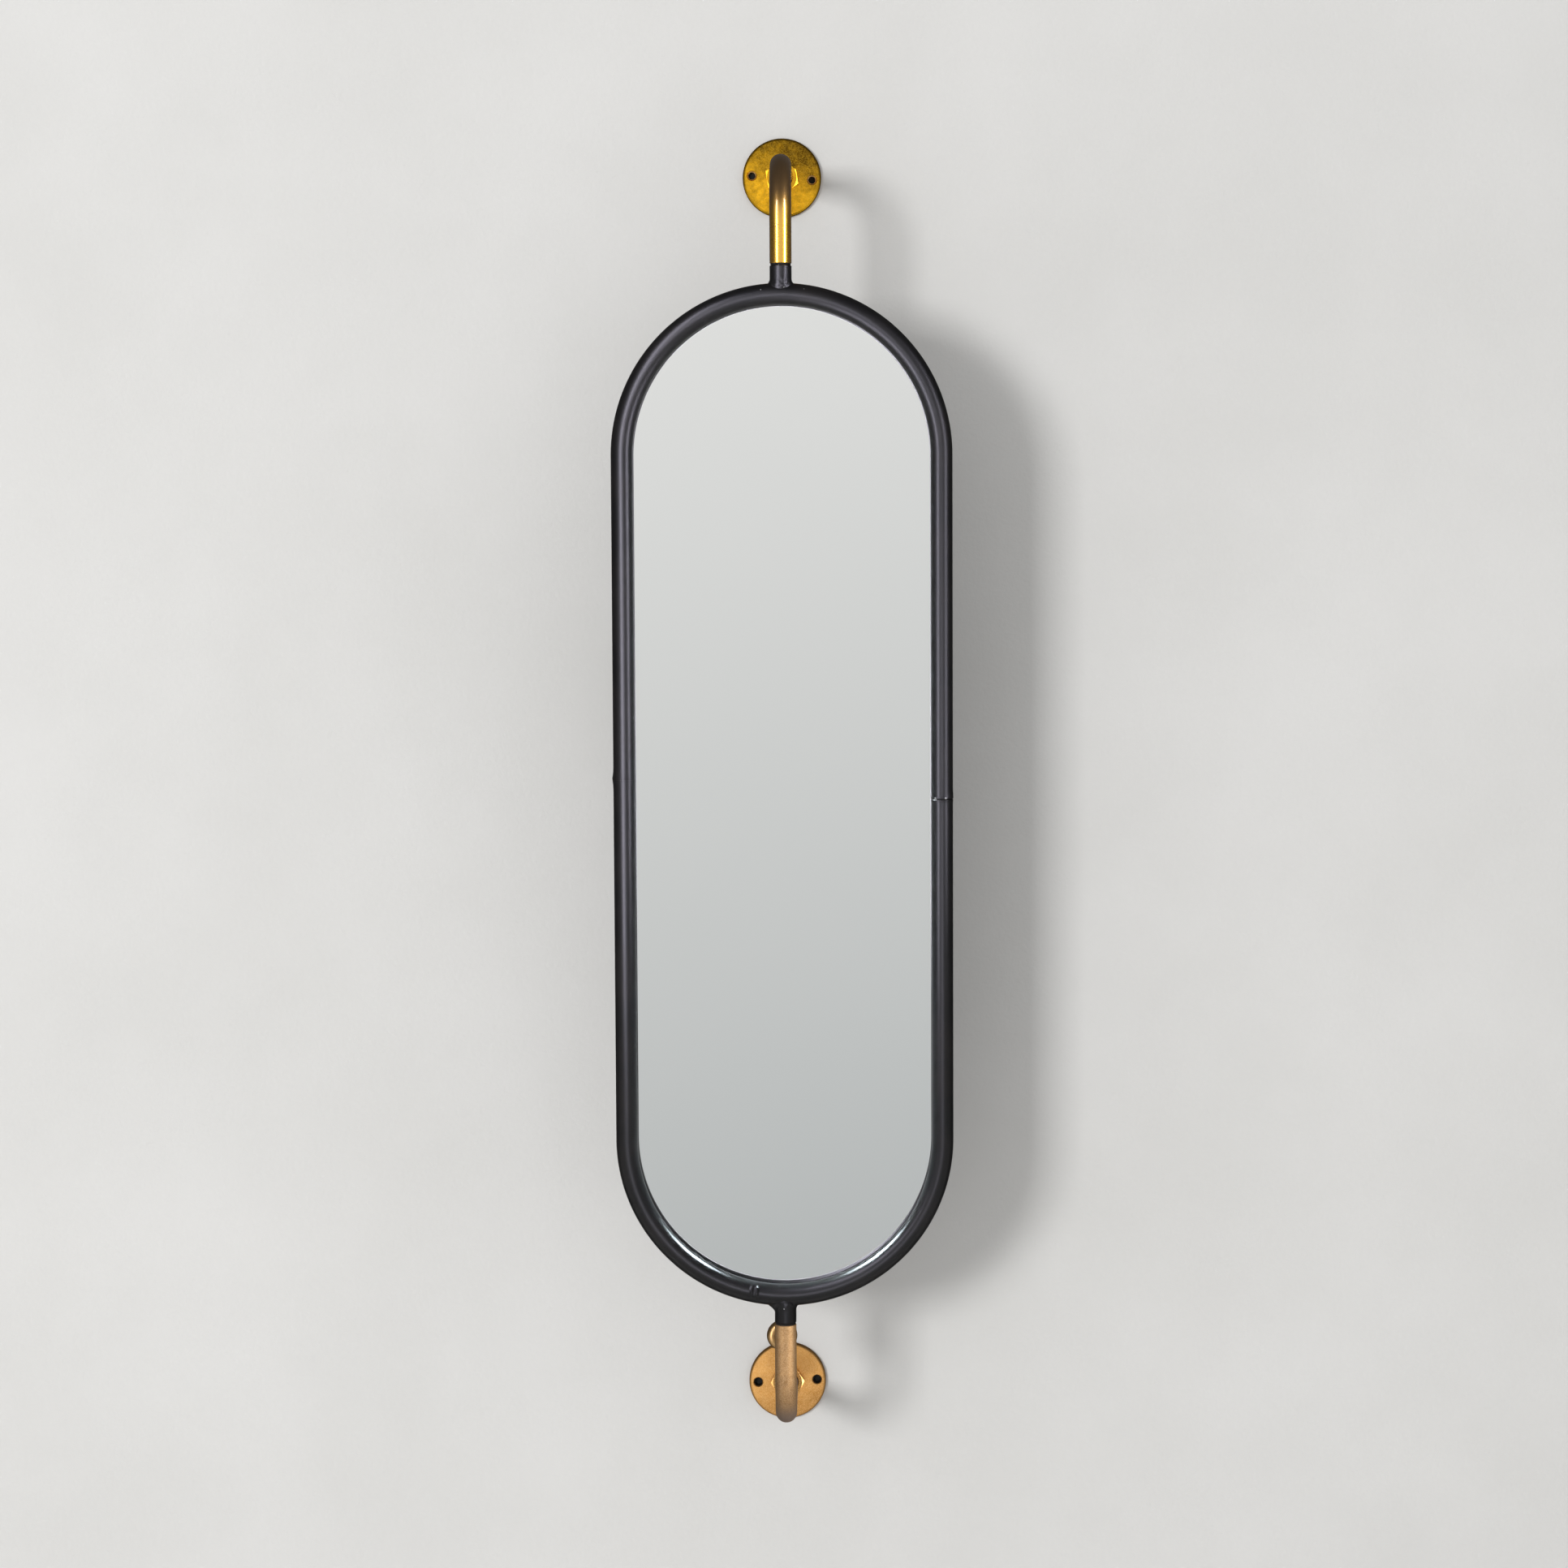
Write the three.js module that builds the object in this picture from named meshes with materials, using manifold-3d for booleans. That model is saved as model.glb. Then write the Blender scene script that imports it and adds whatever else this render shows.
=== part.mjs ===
// A tall mirror in a round-ended tube frame that turns about an upright axis between two wall arms.
// Millimetres, +Z up. The wall is the plane y = 0 and the mirror hangs in front of it, towards -Y.
// The origin lies on the wall, midway between the two wall plates.
import * as THREE from 'three';
import { mergeVertices } from 'three/addons/utils/BufferGeometryUtils.js';
import Module from 'manifold-3d';

const wasm = await Module();
wasm.setup();

// Mirror frame
const frameWidth = 250;         // over the tube, left to right
const frameHeight = 755;        // over the tube, top to bottom
const frameTube = 16;           // tube diameter
const frameWall = 1.5;
const seamGap = 0.2;            // open seam between the two bends
const leftSeamHeight = 15;      // above the frame's middle
const rightSeamHeight = 0;
const sleeveLength = 44;
const sleeveWall = 1.2;

// Glass and its back
const glassRecess = 7;          // glass face behind the tube's centre plane
const glassThickness = 4;
const glassPlay = 0.6;          // round the glass inside the tray
const foamThickness = 0.9;
const foamWidth = 14;
const foamEdgeDistance = 45;    // from the glass edge to the middle of a strip
const foamEndDistance = 42;     // from the end of the frame's straight run to a strip's end
const trayWall = 1;
const trayOverlap = 4;          // tray rim beyond the tube's centre line
const screwsPerSide = 4;
const screwsPerBend = 2;
const trayScrewDiameter = 3.5;
const trayScrewLength = 9.5;
const trayScrewHead = 7;
const trayScrewHeadHeight = 2.4;
const trayScrewPoint = 2;
const trayScrewCrown = 0.7;     // share of the head's width that its flat top keeps

// Wall arms
const wallClearance = 10;       // left behind the mirror's edge as it turns past the wall
const armTube = 16;
const armWall = 1.5;
const armBendRadius = 38;       // on the tube's centre line
const armStraight = 37;         // upright run from the bend to the arm's end
const endGap = 14;              // from the arm's end to the frame

// Wall plates and their nuts
const plateDiameter = 60;
const plateThickness = 5;
const plateEdgeRadius = 2;
const screwEdgeDistance = 7;    // from the plate's edge to the middle of a screw hole
const wallScrewHole = 5.5;
const countersink = 8;
const upperScrewTurn = 4.2;     // degrees that the line of screw holes leans, clockwise from the front
const lowerScrewTurn = -2.5;
const frontNutWall = 3.5;       // from the arm to the nut's flats
const frontNutThickness = 5;
const nutChamfer = 0.6;         // share of the corner's reach beyond the flats
const upperNutTurn = 21;        // degrees clockwise from a corner that points to the right
const lowerNutTurn = -3;
const backNutWall = 2.5;
const backNutThickness = 2.6;
const backRecess = 3;

// Pivots
const bushWall = 1.2;           // the pins fill what the bushes leave of the arm's bore
const pinRoot = 8;              // how far a pin reaches into the frame tube
const pinTopPlay = 2;           // from the pin's tip to the end of the arm's straight run
const bushWallPlay = 0.1;
const collarThickness = 1;
const collarStep = 0.5;         // collar drawn in from the arm's outside
const collarLength = 8;
const weldReach = 1.6;          // how far the weld fillet spreads round a stub
const weldHeight = 3.2;
const stubEdge = 0.5;
const pinPoint = 1;

// Lock on the lower arm
const lockDrop = 13.4;          // from the arm's end to the screw's axis
const lockTurn = 8;             // degrees from straight back, towards the left
const lockScrewDiameter = 6;
const bossDiameter = 12;
const bossHeight = 5;
const bossEdge = 0.8;
const padDiameter = 5.6;
const padLength = 2;
const knobDiameter = 23;
const knobThickness = 8;
const knobEdge = 1;             // chamfer on the side that faces the arm
const knobCrown = 3;            // rounding on the far side
const knobSocket = 4.8;         // depth that the screw is pressed in
const lockScrewPoint = 0.6;
const knobStandOff = 3.4;       // between boss and knob with the screw home

// Clearances
const cutGap = 0.3;             // round a piece that is cut to fit its neighbour
const seatGap = 0.1;            // between faces that rest on each other
const pressGap = 0.1;           // round a piece pressed into a hole
const runningGap = 0.2;         // round a turning pin
const endFloat = 0.3;           // between a stub and its collar
const nutSlip = 1;              // round the back nut's corners

// Fineness of round shapes, in facets on a full circle
const tubeFacets = 20;
const discFacets = 36;
const nutFacets = 24;
const knobFacets = 28;
const smallFacets = 12;
const frameBendSteps = 16;      // along half a circle
const armBendSteps = 8;         // along a quarter circle

// Places that follow from the sizes
const frameRadius = (frameWidth - frameTube) / 2;
const frameStraight = frameHeight / 2 - frameWidth / 2;
const tubeRadius = frameTube / 2;
const tubeBore = tubeRadius - frameWall;
const armRadius = armTube / 2;
const armBore = armRadius - armWall;
const bushRadius = armBore - bushWallPlay;
const pinHole = bushRadius - bushWall;
const pinRadius = pinHole - runningGap;
const standOff = frameWidth / 2 + wallClearance;
const armEnd = frameHeight / 2 + endGap;
const plateHeight = armEnd + armStraight + armBendRadius;
const frontNutFlats = armTube + 2 * frontNutWall;
const backNutFlats = armTube + 2 * backNutWall;
const stubLength = endGap - seatGap - collarThickness - endFloat;
const trayWallInset = Math.max(
  Math.sqrt(Math.max(0, (tubeRadius + cutGap) ** 2 - glassRecess ** 2)) - glassPlay,
  trayScrewHead / 2 + cutGap + trayWall,
);
const glassInset = trayWallInset + glassPlay;   // from the tube's centre line to the glass edge
const glassBack = glassRecess + glassThickness;
const trayFloor = glassBack + foamThickness + 2 * seatGap;
const rimFront = tubeRadius + seatGap;

const blackPaint = { color: 0x232224, roughness: 0.42, metalness: 0.25 };
const polishedBrass = { color: 0xc8901c, roughness: 0.24, metalness: 1 };
const agedBrass = { color: 0xc49860, roughness: 0.45, metalness: 1 };
const silvering = { color: 0xd4d5d4, roughness: 0.03, metalness: 1 };
const bareSteel = { color: 0x9a9c9e, roughness: 0.35, metalness: 1 };
const blackNylon = { color: 0x1c1c1e, roughness: 0.6, metalness: 0 };
const greyFoam = { color: 0x56585a, roughness: 0.95, metalness: 0 };

// Manifold solids from closed three.js geometry, and back again.
function solidOf(geometry) {
  const bare = geometry.index ? geometry.toNonIndexed() : geometry.clone();
  bare.deleteAttribute('normal');
  bare.deleteAttribute('uv');
  const merged = mergeVertices(bare, 1e-4);
  const corners = merged.index.array;
  const faces = [];
  for (let i = 0; i < corners.length; i += 3) {
    const [a, b, c] = corners.slice(i, i + 3);
    if (a !== b && b !== c && c !== a) faces.push(a, b, c);
  }
  return new wasm.Manifold(new wasm.Mesh({
    numProp: 3,
    vertProperties: new Float32Array(merged.attributes.position.array),
    triVerts: new Uint32Array(faces),
  }));
}

function geometryOf(solid) {
  const mesh = solid.getMesh();
  const geometry = new THREE.BufferGeometry();
  geometry.setAttribute('position', new THREE.BufferAttribute(mesh.vertProperties, 3));
  geometry.setIndex(new THREE.BufferAttribute(mesh.triVerts, 1));
  geometry.computeVertexNormals();
  return geometry;
}

const cut = (geometry, ...tools) =>
  geometryOf(tools.reduce((rest, tool) => rest.subtract(solidOf(tool)), solidOf(geometry)));

const joined = (...geometries) =>
  geometryOf(geometries.slice(1).reduce((sum, g) => sum.add(solidOf(g)), solidOf(geometries[0])));

// A named piece with its finish.
function part(name, geometry, finish) {
  const mesh = new THREE.Mesh(geometry, new THREE.MeshStandardMaterial(finish));
  mesh.name = name;
  return mesh;
}

// Round shapes about the Y axis: a profile is a list of [radius, height], outer side upwards.
const turned = (profile, facets = tubeFacets) =>
  new THREE.LatheGeometry(profile.map(([radius, height]) => new THREE.Vector2(radius, height)), facets);

const rod = (radius, from, to, facets = tubeFacets) =>
  turned([[0, from], [radius, from], [radius, to], [0, to]], facets);

const ring = (inner, outer, from, to, facets = tubeFacets) =>
  turned([[inner, from], [outer, from], [outer, to], [inner, to], [inner, from]], facets);

const upright = (geometry) => geometry.rotateX(Math.PI / 2);

// A route with one round bend between two straight runs. Each step of an extrusion along it falls
// on an end of a straight run or on an even step of the bend.
class BentRoute extends THREE.Curve {
  constructor({ start, ahead, towards, firstRun, radius, sweep, lastRun, bendSteps }) {
    super();
    Object.assign(this, { start, ahead, towards, firstRun, radius, sweep, lastRun, bendSteps });
    this.steps = bendSteps + 2;
  }

  angleAt(t) {
    const step = THREE.MathUtils.clamp(t * this.steps - 1, 0, this.bendSteps);
    return this.sweep * step / this.bendSteps;
  }

  getPoint(t) {
    const step = t * this.steps;
    const angle = this.angleAt(t);
    const before = this.firstRun * Math.min(step, 1);
    const after = this.lastRun * Math.max(step - this.bendSteps - 1, 0);
    return this.start.clone()
      .addScaledVector(this.ahead, before + this.radius * Math.sin(angle))
      .addScaledVector(this.towards, this.radius * (1 - Math.cos(angle)))
      .addScaledVector(this.getTangent(t), after);
  }

  getTangent(t) {
    const angle = this.angleAt(t);
    return this.ahead.clone().multiplyScalar(Math.cos(angle))
      .addScaledVector(this.towards, Math.sin(angle));
  }

  getUtoTmapping(u) {
    return u;
  }
}

function along(route, outer, inner = 0) {
  const section = new THREE.Shape().absarc(0, 0, outer, 0, 2 * Math.PI);
  if (inner > 0) section.holes.push(new THREE.Path().absarc(0, 0, inner, 0, 2 * Math.PI));
  return new THREE.ExtrudeGeometry(section, {
    extrudePath: route,
    steps: route.steps,
    curveSegments: tubeFacets / 2,
  });
}

// A plate with the frame's round-ended outline, drawn in from the tube's centre line by an inset.
function stadium(inset, from, to) {
  const radius = frameRadius - inset;
  const outline = new THREE.Shape()
    .absarc(0, frameStraight, radius, 0, Math.PI)
    .absarc(0, -frameStraight, radius, Math.PI, 2 * Math.PI);
  outline.closePath();
  const plate = new THREE.ExtrudeGeometry(outline, {
    depth: to - from,
    bevelEnabled: false,
    curveSegments: frameBendSteps / 2,
  });
  return plate.rotateX(-Math.PI / 2).translate(0, from, 0);
}

// Wall plates: turned discs with a rounded front edge, a recess for the back nut and two screw holes.
function wallPlate() {
  const edge = [];
  const radius = plateDiameter / 2;
  const edgeSteps = 4;
  for (let i = 0; i <= edgeSteps; i += 1) {
    const angle = i / edgeSteps * Math.PI / 2;
    edge.push([
      radius - plateEdgeRadius * (1 - Math.cos(angle)),
      plateThickness - plateEdgeRadius * (1 - Math.sin(angle)),
    ]);
  }
  const recess = backNutFlats / Math.sqrt(3) + nutSlip;
  const bore = armRadius + cutGap;
  const disc = turned([
    [bore, backRecess], [recess, backRecess], [recess, 0], [radius, 0],
    ...edge, [bore, plateThickness], [bore, backRecess],
  ], discFacets);
  const sinkDepth = (countersink - wallScrewHole) / 2;
  const screwHole = (side) => turned([
    [0, -1], [wallScrewHole / 2, -1], [wallScrewHole / 2, plateThickness - sinkDepth],
    [countersink / 2 + 1, plateThickness + 1], [0, plateThickness + 1],
  ], smallFacets).translate(side * (radius - screwEdgeDistance), 0, 0);
  return cut(disc, screwHole(-1), screwHole(1));
}

// Hex nuts about the Y axis, a corner towards +X, both faces chamfered.
function hexNut(flats, thickness) {
  const corner = flats / Math.sqrt(3);
  const chamfer = (corner - flats / 2) * nutChamfer;
  const block = new THREE.CylinderGeometry(corner, corner, thickness, 6)
    .rotateY(Math.PI / 2)
    .translate(0, thickness / 2, 0);
  const rounded = turned([
    [0, 0], [flats / 2, 0], [corner, chamfer], [corner, thickness - chamfer],
    [flats / 2, thickness], [0, thickness],
  ], nutFacets);
  const bore = rod(armRadius + cutGap, -1, thickness + 1);
  return geometryOf(solidOf(block).intersect(solidOf(rounded)).subtract(solidOf(bore)));
}

// Arms: in the fixing's frame the wall is y = 0, the plate's centre is the origin, and the arm
// comes forward and bends down to the pivot.
function arm(...tools) {
  const route = new BentRoute({
    start: new THREE.Vector3(0, -seatGap, 0),
    ahead: new THREE.Vector3(0, -1, 0),
    towards: new THREE.Vector3(0, 0, -1),
    firstRun: standOff - armBendRadius - seatGap,
    radius: armBendRadius,
    sweep: Math.PI / 2,
    lastRun: armStraight,
    bendSteps: armBendSteps,
  });
  const tube = along(route, armRadius, armBore);
  return tools.length ? cut(tube, ...tools) : tube;
}

// Bushes: heights run from the arm's end into the arm.
const lockHole = lockScrewDiameter / 2 + cutGap;
const innerBushStart = lockDrop + lockHole + pressGap;

const collarBush = () => upright(turned([
  [pinHole, -seatGap - collarThickness], [armRadius - collarStep, -seatGap - collarThickness],
  [armRadius - collarStep, -seatGap], [bushRadius, -seatGap], [bushRadius, collarLength],
  [pinHole, collarLength], [pinHole, -seatGap - collarThickness],
]));

const innerBush = () => upright(ring(pinHole, bushRadius, innerBushStart, armStraight - seatGap));

// Lock: heights run backwards from the pivot's axis.
const bossEnd = armRadius + bossHeight;
const padStart = pinRadius + seatGap;
const padEnd = padStart + padLength;
const knobStart = bossEnd + knobStandOff;

const lockBoss = () => cut(
  turned([
    [lockHole, armRadius / 2], [bossDiameter / 2, armRadius / 2],
    [bossDiameter / 2, bossEnd - bossEdge], [bossDiameter / 2 - bossEdge, bossEnd],
    [lockHole, bossEnd], [lockHole, armRadius / 2],
  ]),
  upright(rod(armRadius + cutGap, -bossDiameter, bossDiameter)),
);

const lockPad = () => rod(padDiameter / 2, padStart, padEnd, smallFacets);

const lockScrew = () => turned([
  [0, padEnd + seatGap], [lockScrewDiameter / 2 - lockScrewPoint, padEnd + seatGap],
  [lockScrewDiameter / 2, padEnd + seatGap + lockScrewPoint],
  [lockScrewDiameter / 2, knobStart + knobSocket], [0, knobStart + knobSocket],
], smallFacets);

function lockKnob() {
  const radius = knobDiameter / 2;
  const socket = lockScrewDiameter / 2 + pressGap;
  const socketEnd = knobSocket + pressGap;
  const crown = [];
  const crownSteps = 4;
  for (let i = 0; i <= crownSteps; i += 1) {
    const angle = i / crownSteps * Math.PI / 2;
    crown.push([
      radius - knobCrown * (1 - Math.cos(angle)),
      knobThickness - knobCrown * (1 - Math.sin(angle)),
    ]);
  }
  return turned([
    [socket, 0], [radius - knobEdge, 0], [radius, knobEdge], ...crown,
    [0, knobThickness], [0, socketEnd], [socket, socketEnd], [socket, 0],
  ], knobFacets).translate(0, knobStart, 0);
}

// Frame bends: one half of the tube frame, open at the seams, drilled for the pin and the screws.
// The seam heights are those of the half's own left and right ends.
function frameRoute(leftSeam = 0, rightSeam = 0) {
  return new BentRoute({
    start: new THREE.Vector3(-frameRadius, 0, leftSeam + seamGap / 2),
    ahead: new THREE.Vector3(0, 0, 1),
    towards: new THREE.Vector3(1, 0, 0),
    firstRun: frameStraight - leftSeam - seamGap / 2,
    radius: frameRadius,
    sweep: Math.PI,
    lastRun: frameStraight - rightSeam - seamGap / 2,
    bendSteps: frameBendSteps,
  });
}

// Screw places on the tube's centre line, as [x, z], over the whole frame.
function screwPlaces() {
  const places = [];
  const pitch = 2 * frameStraight / screwsPerSide;
  for (const side of [-1, 1]) {
    for (let i = 0; i < screwsPerSide; i += 1) {
      places.push([side * frameRadius, (i + 0.5) * pitch - frameStraight]);
    }
    for (let i = 0; i < screwsPerBend; i += 1) {
      const angle = (i + 0.5) / screwsPerBend * Math.PI;
      places.push([
        frameRadius * Math.cos(angle),
        side * (frameStraight + frameRadius * Math.sin(angle)),
      ]);
    }
  }
  return places;
}

function frameBend(leftSeam, rightSeam) {
  const crown = frameHeight / 2;
  const pinBore = upright(rod(pinRadius + cutGap, crown - pinRoot, crown + 1));
  const held = screwPlaces().filter(([x, z]) => z > (x < 0 ? leftSeam : rightSeam));
  const screwBores = held.map(([x, z]) =>
    rod(trayScrewDiameter / 2 + cutGap, tubeRadius - 2 * frameWall, tubeRadius + 1, smallFacets)
      .translate(x, 0, z));
  return cut(along(frameRoute(leftSeam, rightSeam), tubeRadius, tubeBore), pinBore, ...screwBores);
}

const jointSleeve = () => upright(ring(
  tubeBore - bushWallPlay - sleeveWall, tubeBore - bushWallPlay, -sleeveLength / 2, sleeveLength / 2));

// Stubs and pins: heights run outwards from the frame's crown.
function stub() {
  const foot = trayOverlap + cutGap - tubeRadius;   // just clear of the tray rim behind
  const weld = [];
  const weldSteps = 4;
  for (let i = 0; i <= weldSteps; i += 1) {
    const angle = i / weldSteps * Math.PI / 2;
    weld.push([armRadius + weldReach * (1 - Math.sin(angle)), weldHeight * (1 - Math.cos(angle))]);
  }
  const body = upright(turned([
    [0, foot], [armRadius + weldReach, foot], ...weld, [armRadius, stubLength - stubEdge],
    [armRadius - stubEdge, stubLength], [0, stubLength],
  ])).translate(0, 0, frameHeight / 2);
  const bore = upright(rod(pinRadius + pressGap, foot - 1, stubLength + 1))
    .translate(0, 0, frameHeight / 2);
  return cut(body, along(frameRoute(), tubeRadius + cutGap), bore);
}

function pivotPin() {
  const tip = endGap + armStraight - pinTopPlay;
  return upright(turned([
    [0, -pinRoot], [pinRadius, -pinRoot], [pinRadius, tip - pinPoint], [pinRadius - pinPoint, tip],
    [0, tip],
  ]));
}

// Back tray: a rim that lies on the tube and a shallow pan that holds the glass.
function backTray() {
  const rim = stadium(-trayOverlap, rimFront, rimFront + trayWall);
  const pan = stadium(trayWallInset - trayWall, rimFront, trayFloor + trayWall);
  const hollow = stadium(trayWallInset, rimFront - 1, trayFloor);
  const holes = screwPlaces().map(([x, z]) =>
    rod(trayScrewDiameter / 2 + cutGap, rimFront - 1, rimFront + trayWall + 1, smallFacets)
      .translate(x, 0, z));
  return cut(joined(rim, pan), hollow, ...holes);
}

const foamStrip = () =>
  new THREE.BoxGeometry(foamWidth, foamThickness, 2 * (frameStraight - foamEndDistance));

// A screw driven forwards, its head's seat at height 0 and its head towards +Y.
function trayScrew() {
  const shank = trayScrewDiameter / 2;
  const head = trayScrewHead / 2;
  return turned([
    [0, -trayScrewLength], [shank, trayScrewPoint - trayScrewLength], [shank, 0], [head, 0],
    [head, trayScrewHeadHeight / 2], [head * trayScrewCrown, trayScrewHeadHeight],
    [0, trayScrewHeadHeight],
  ], smallFacets);
}

// A fixing holds one plate, its nuts, its arm and the bushes in the arm's end.
function fixing(side, screwTurn, nutTurn, finish, armTools = []) {
  const group = new THREE.Group();
  const plate = part(`${side}_wall_plate`, wallPlate(), finish);
  plate.rotation.z = Math.PI;
  plate.rotation.y = THREE.MathUtils.degToRad(screwTurn);
  const frontNut = part(`${side}_front_nut`, hexNut(frontNutFlats, frontNutThickness), finish);
  frontNut.rotation.y = THREE.MathUtils.degToRad(nutTurn);
  frontNut.position.y = -plateThickness - seatGap - frontNutThickness;
  const backNut = part(`${side}_back_nut`, hexNut(backNutFlats, backNutThickness), finish);
  backNut.position.y = -backRecess + seatGap;
  group.add(plate, frontNut, backNut, part(`${side}_arm`, arm(...armTools), finish));

  const end = new THREE.Group();
  end.position.set(0, -standOff, armEnd - plateHeight);
  end.add(part(`${side}_collar_bush`, collarBush(), blackNylon));
  end.add(part(`${side}_inner_bush`, innerBush(), blackNylon));
  group.add(end);
  return { group, end };
}

const upper = fixing('upper', upperScrewTurn, upperNutTurn, polishedBrass);
upper.group.position.z = plateHeight;

const lockAngle = THREE.MathUtils.degToRad(-lockTurn);
const lockBore = rod(lockHole, armBore / 2, armRadius + 1, smallFacets)
  .rotateZ(lockAngle)
  .translate(0, -standOff, armEnd - plateHeight + lockDrop);
const lower = fixing('lower', lowerScrewTurn, lowerNutTurn, agedBrass, [lockBore]);
lower.group.position.z = -plateHeight;
lower.group.rotation.y = Math.PI;

const lock = new THREE.Group();
lock.position.z = lockDrop;
lock.rotation.z = lockAngle;
lock.add(part('lock_boss', lockBoss(), agedBrass));
lock.add(part('lock_pad', lockPad(), blackNylon));
lock.add(part('lock_screw', lockScrew(), bareSteel));
lock.add(part('lock_knob', lockKnob(), polishedBrass));
lower.end.add(lock);

// The mirror turns as one about the upright axis through the pins.
const mirror = new THREE.Group();
mirror.position.y = -standOff;
const seams = [leftSeamHeight, rightSeamHeight];
const turnedSeams = [-rightSeamHeight, -leftSeamHeight];
for (const [side, turn, ends] of [['upper', 0, seams], ['lower', Math.PI, turnedSeams]]) {
  const half = new THREE.Group();
  half.rotation.y = turn;
  const pin = part(`${side}_pivot_pin`, pivotPin(), bareSteel);
  pin.position.z = frameHeight / 2;
  half.add(part(`frame_${side}_bend`, frameBend(...ends), blackPaint));
  half.add(part(`${side}_stub`, stub(), blackPaint), pin);
  mirror.add(half);
}
for (const [side, x, seam] of [['left', -1, leftSeamHeight], ['right', 1, rightSeamHeight]]) {
  const sleeve = part(`${side}_joint_sleeve`, jointSleeve(), bareSteel);
  sleeve.position.set(x * frameRadius, 0, seam);
  const foam = part(`${side}_foam_strip`, foamStrip(), greyFoam);
  const foamPlace = frameRadius - glassInset - foamEdgeDistance;
  foam.position.set(x * foamPlace, glassBack + seatGap + foamThickness / 2, 0);
  mirror.add(sleeve, foam);
}
mirror.add(part('mirror_glass', stadium(glassInset, glassRecess, glassBack), silvering));
mirror.add(part('back_tray', backTray(), blackPaint));
screwPlaces().forEach(([x, z], i) => {
  const screw = part(`back_screw_${String(i + 1).padStart(2, '0')}`, trayScrew(), bareSteel);
  screw.position.set(x, rimFront + trayWall + seatGap, z);
  mirror.add(screw);
});

const pivotMirror = new THREE.Group();
pivotMirror.add(upper.group, lower.group, mirror);

export default pivotMirror;
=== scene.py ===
import math

import bmesh
import bpy
from mathutils import Matrix, Vector, noise


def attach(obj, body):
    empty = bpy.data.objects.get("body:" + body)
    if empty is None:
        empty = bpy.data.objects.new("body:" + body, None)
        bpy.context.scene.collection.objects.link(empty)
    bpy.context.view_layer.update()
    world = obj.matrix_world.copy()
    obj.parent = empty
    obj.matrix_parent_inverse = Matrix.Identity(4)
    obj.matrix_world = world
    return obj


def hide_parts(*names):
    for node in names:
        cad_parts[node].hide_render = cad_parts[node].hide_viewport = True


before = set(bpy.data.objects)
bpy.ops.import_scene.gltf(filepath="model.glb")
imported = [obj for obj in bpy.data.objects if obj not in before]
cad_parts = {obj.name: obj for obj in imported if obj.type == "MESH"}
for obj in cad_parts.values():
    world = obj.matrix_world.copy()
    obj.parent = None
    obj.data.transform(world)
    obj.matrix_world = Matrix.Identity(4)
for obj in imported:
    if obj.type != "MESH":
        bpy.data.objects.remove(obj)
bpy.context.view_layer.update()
print("frame loaded:", len(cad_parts), "nodes")

# Shapes are worked out in millimetres in the frame's own axes and scaled to metres when they are finished.
millimetre = 0.001

pivotY = -135  # the mirror's axis is upright, so far in front of the wall
shared = {
    "tube": 8,  # outside radius of the frame tube, the stubs and the arms
    "armBore": 6.5,
    "pinBore": 5.1,
    "round": 56,  # facets round a tube
    "skin": 0.1,  # how far below a surface a vertex still belongs to it
}
signs = {"upper": 1, "lower": -1}
halves = {"upper": Matrix(), "lower": Matrix.Rotation(math.pi, 4, "Y")}  # the lower one is turned over
towardsRoom = Matrix.Rotation(math.pi / 2, 4, "X")  # local up becomes -Y
towardsWall = Matrix.Rotation(-math.pi / 2, 4, "X")  # local up becomes +Y


# Shape helpers

def turned(profile, count, soft=(), steps=4, closed=True):  # a profile of (radius, height) spun round local Z
    bm = bmesh.new()
    verts = [bm.verts.new((radius, 0, height)) for radius, height in profile]
    for pair in zip(verts, verts[1:] + verts[:1] if closed else verts[1:]):
        bm.edges.new(pair)
    for index, rounding in soft:  # corners to round, before the spin
        bmesh.ops.bevel(bm, geom=[verts[index]], offset=rounding, segments=steps, profile=0.5,
                        affect="VERTICES", material=-1)
    bmesh.ops.spin(bm, geom=bm.verts[:] + bm.edges[:], cent=(0, 0, 0), axis=(0, 0, 1),
                   angle=2 * math.pi, steps=count, use_merge=True)
    bmesh.ops.remove_doubles(bm, verts=bm.verts, dist=1e-4)
    return bm


def moved(bm, *matrices):
    for matrix in matrices:
        bmesh.ops.transform(bm, matrix=matrix, verts=bm.verts)
    return bm


def ringEdges(verts):
    chosen = set(verts)
    return [edge for edge in {e for vert in verts for e in vert.link_edges} if set(edge.verts) <= chosen]


def circleAt(bm, radius, count, matrix):
    return ringEdges(bmesh.ops.create_circle(bm, segments=count, radius=radius, matrix=matrix)["verts"])


def pulled(bm, edges, matrix):  # extrudes a ring of edges and sets the new ring by a matrix
    made = bmesh.ops.extrude_edge_only(bm, edges=edges)["geom"]
    verts = [item for item in made if isinstance(item, bmesh.types.BMVert)]
    bmesh.ops.transform(bm, matrix=matrix, verts=verts)
    return ringEdges(verts)


def swung(bm, edges, centre, axis, angle, steps):  # the same round a bend
    verts = list({vert for edge in edges for vert in edge.verts})
    made = bmesh.ops.spin(bm, geom=verts + edges, cent=centre, axis=axis, angle=angle, steps=steps)
    return [item for item in made["geom_last"] if isinstance(item, bmesh.types.BMEdge)]


def tubeClosed(bm, ends):  # ends: first and last ring of the outside, then of the bore
    for outside, bore in zip(ends[:2], ends[2:]):
        bmesh.ops.bridge_loops(bm, edges=outside + bore)


def shifted(x=0, y=0, z=0):
    return Matrix.Translation((x, y, z))


def spun(degrees, axis="Y"):
    return Matrix.Rotation(math.radians(degrees), 4, axis)


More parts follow.
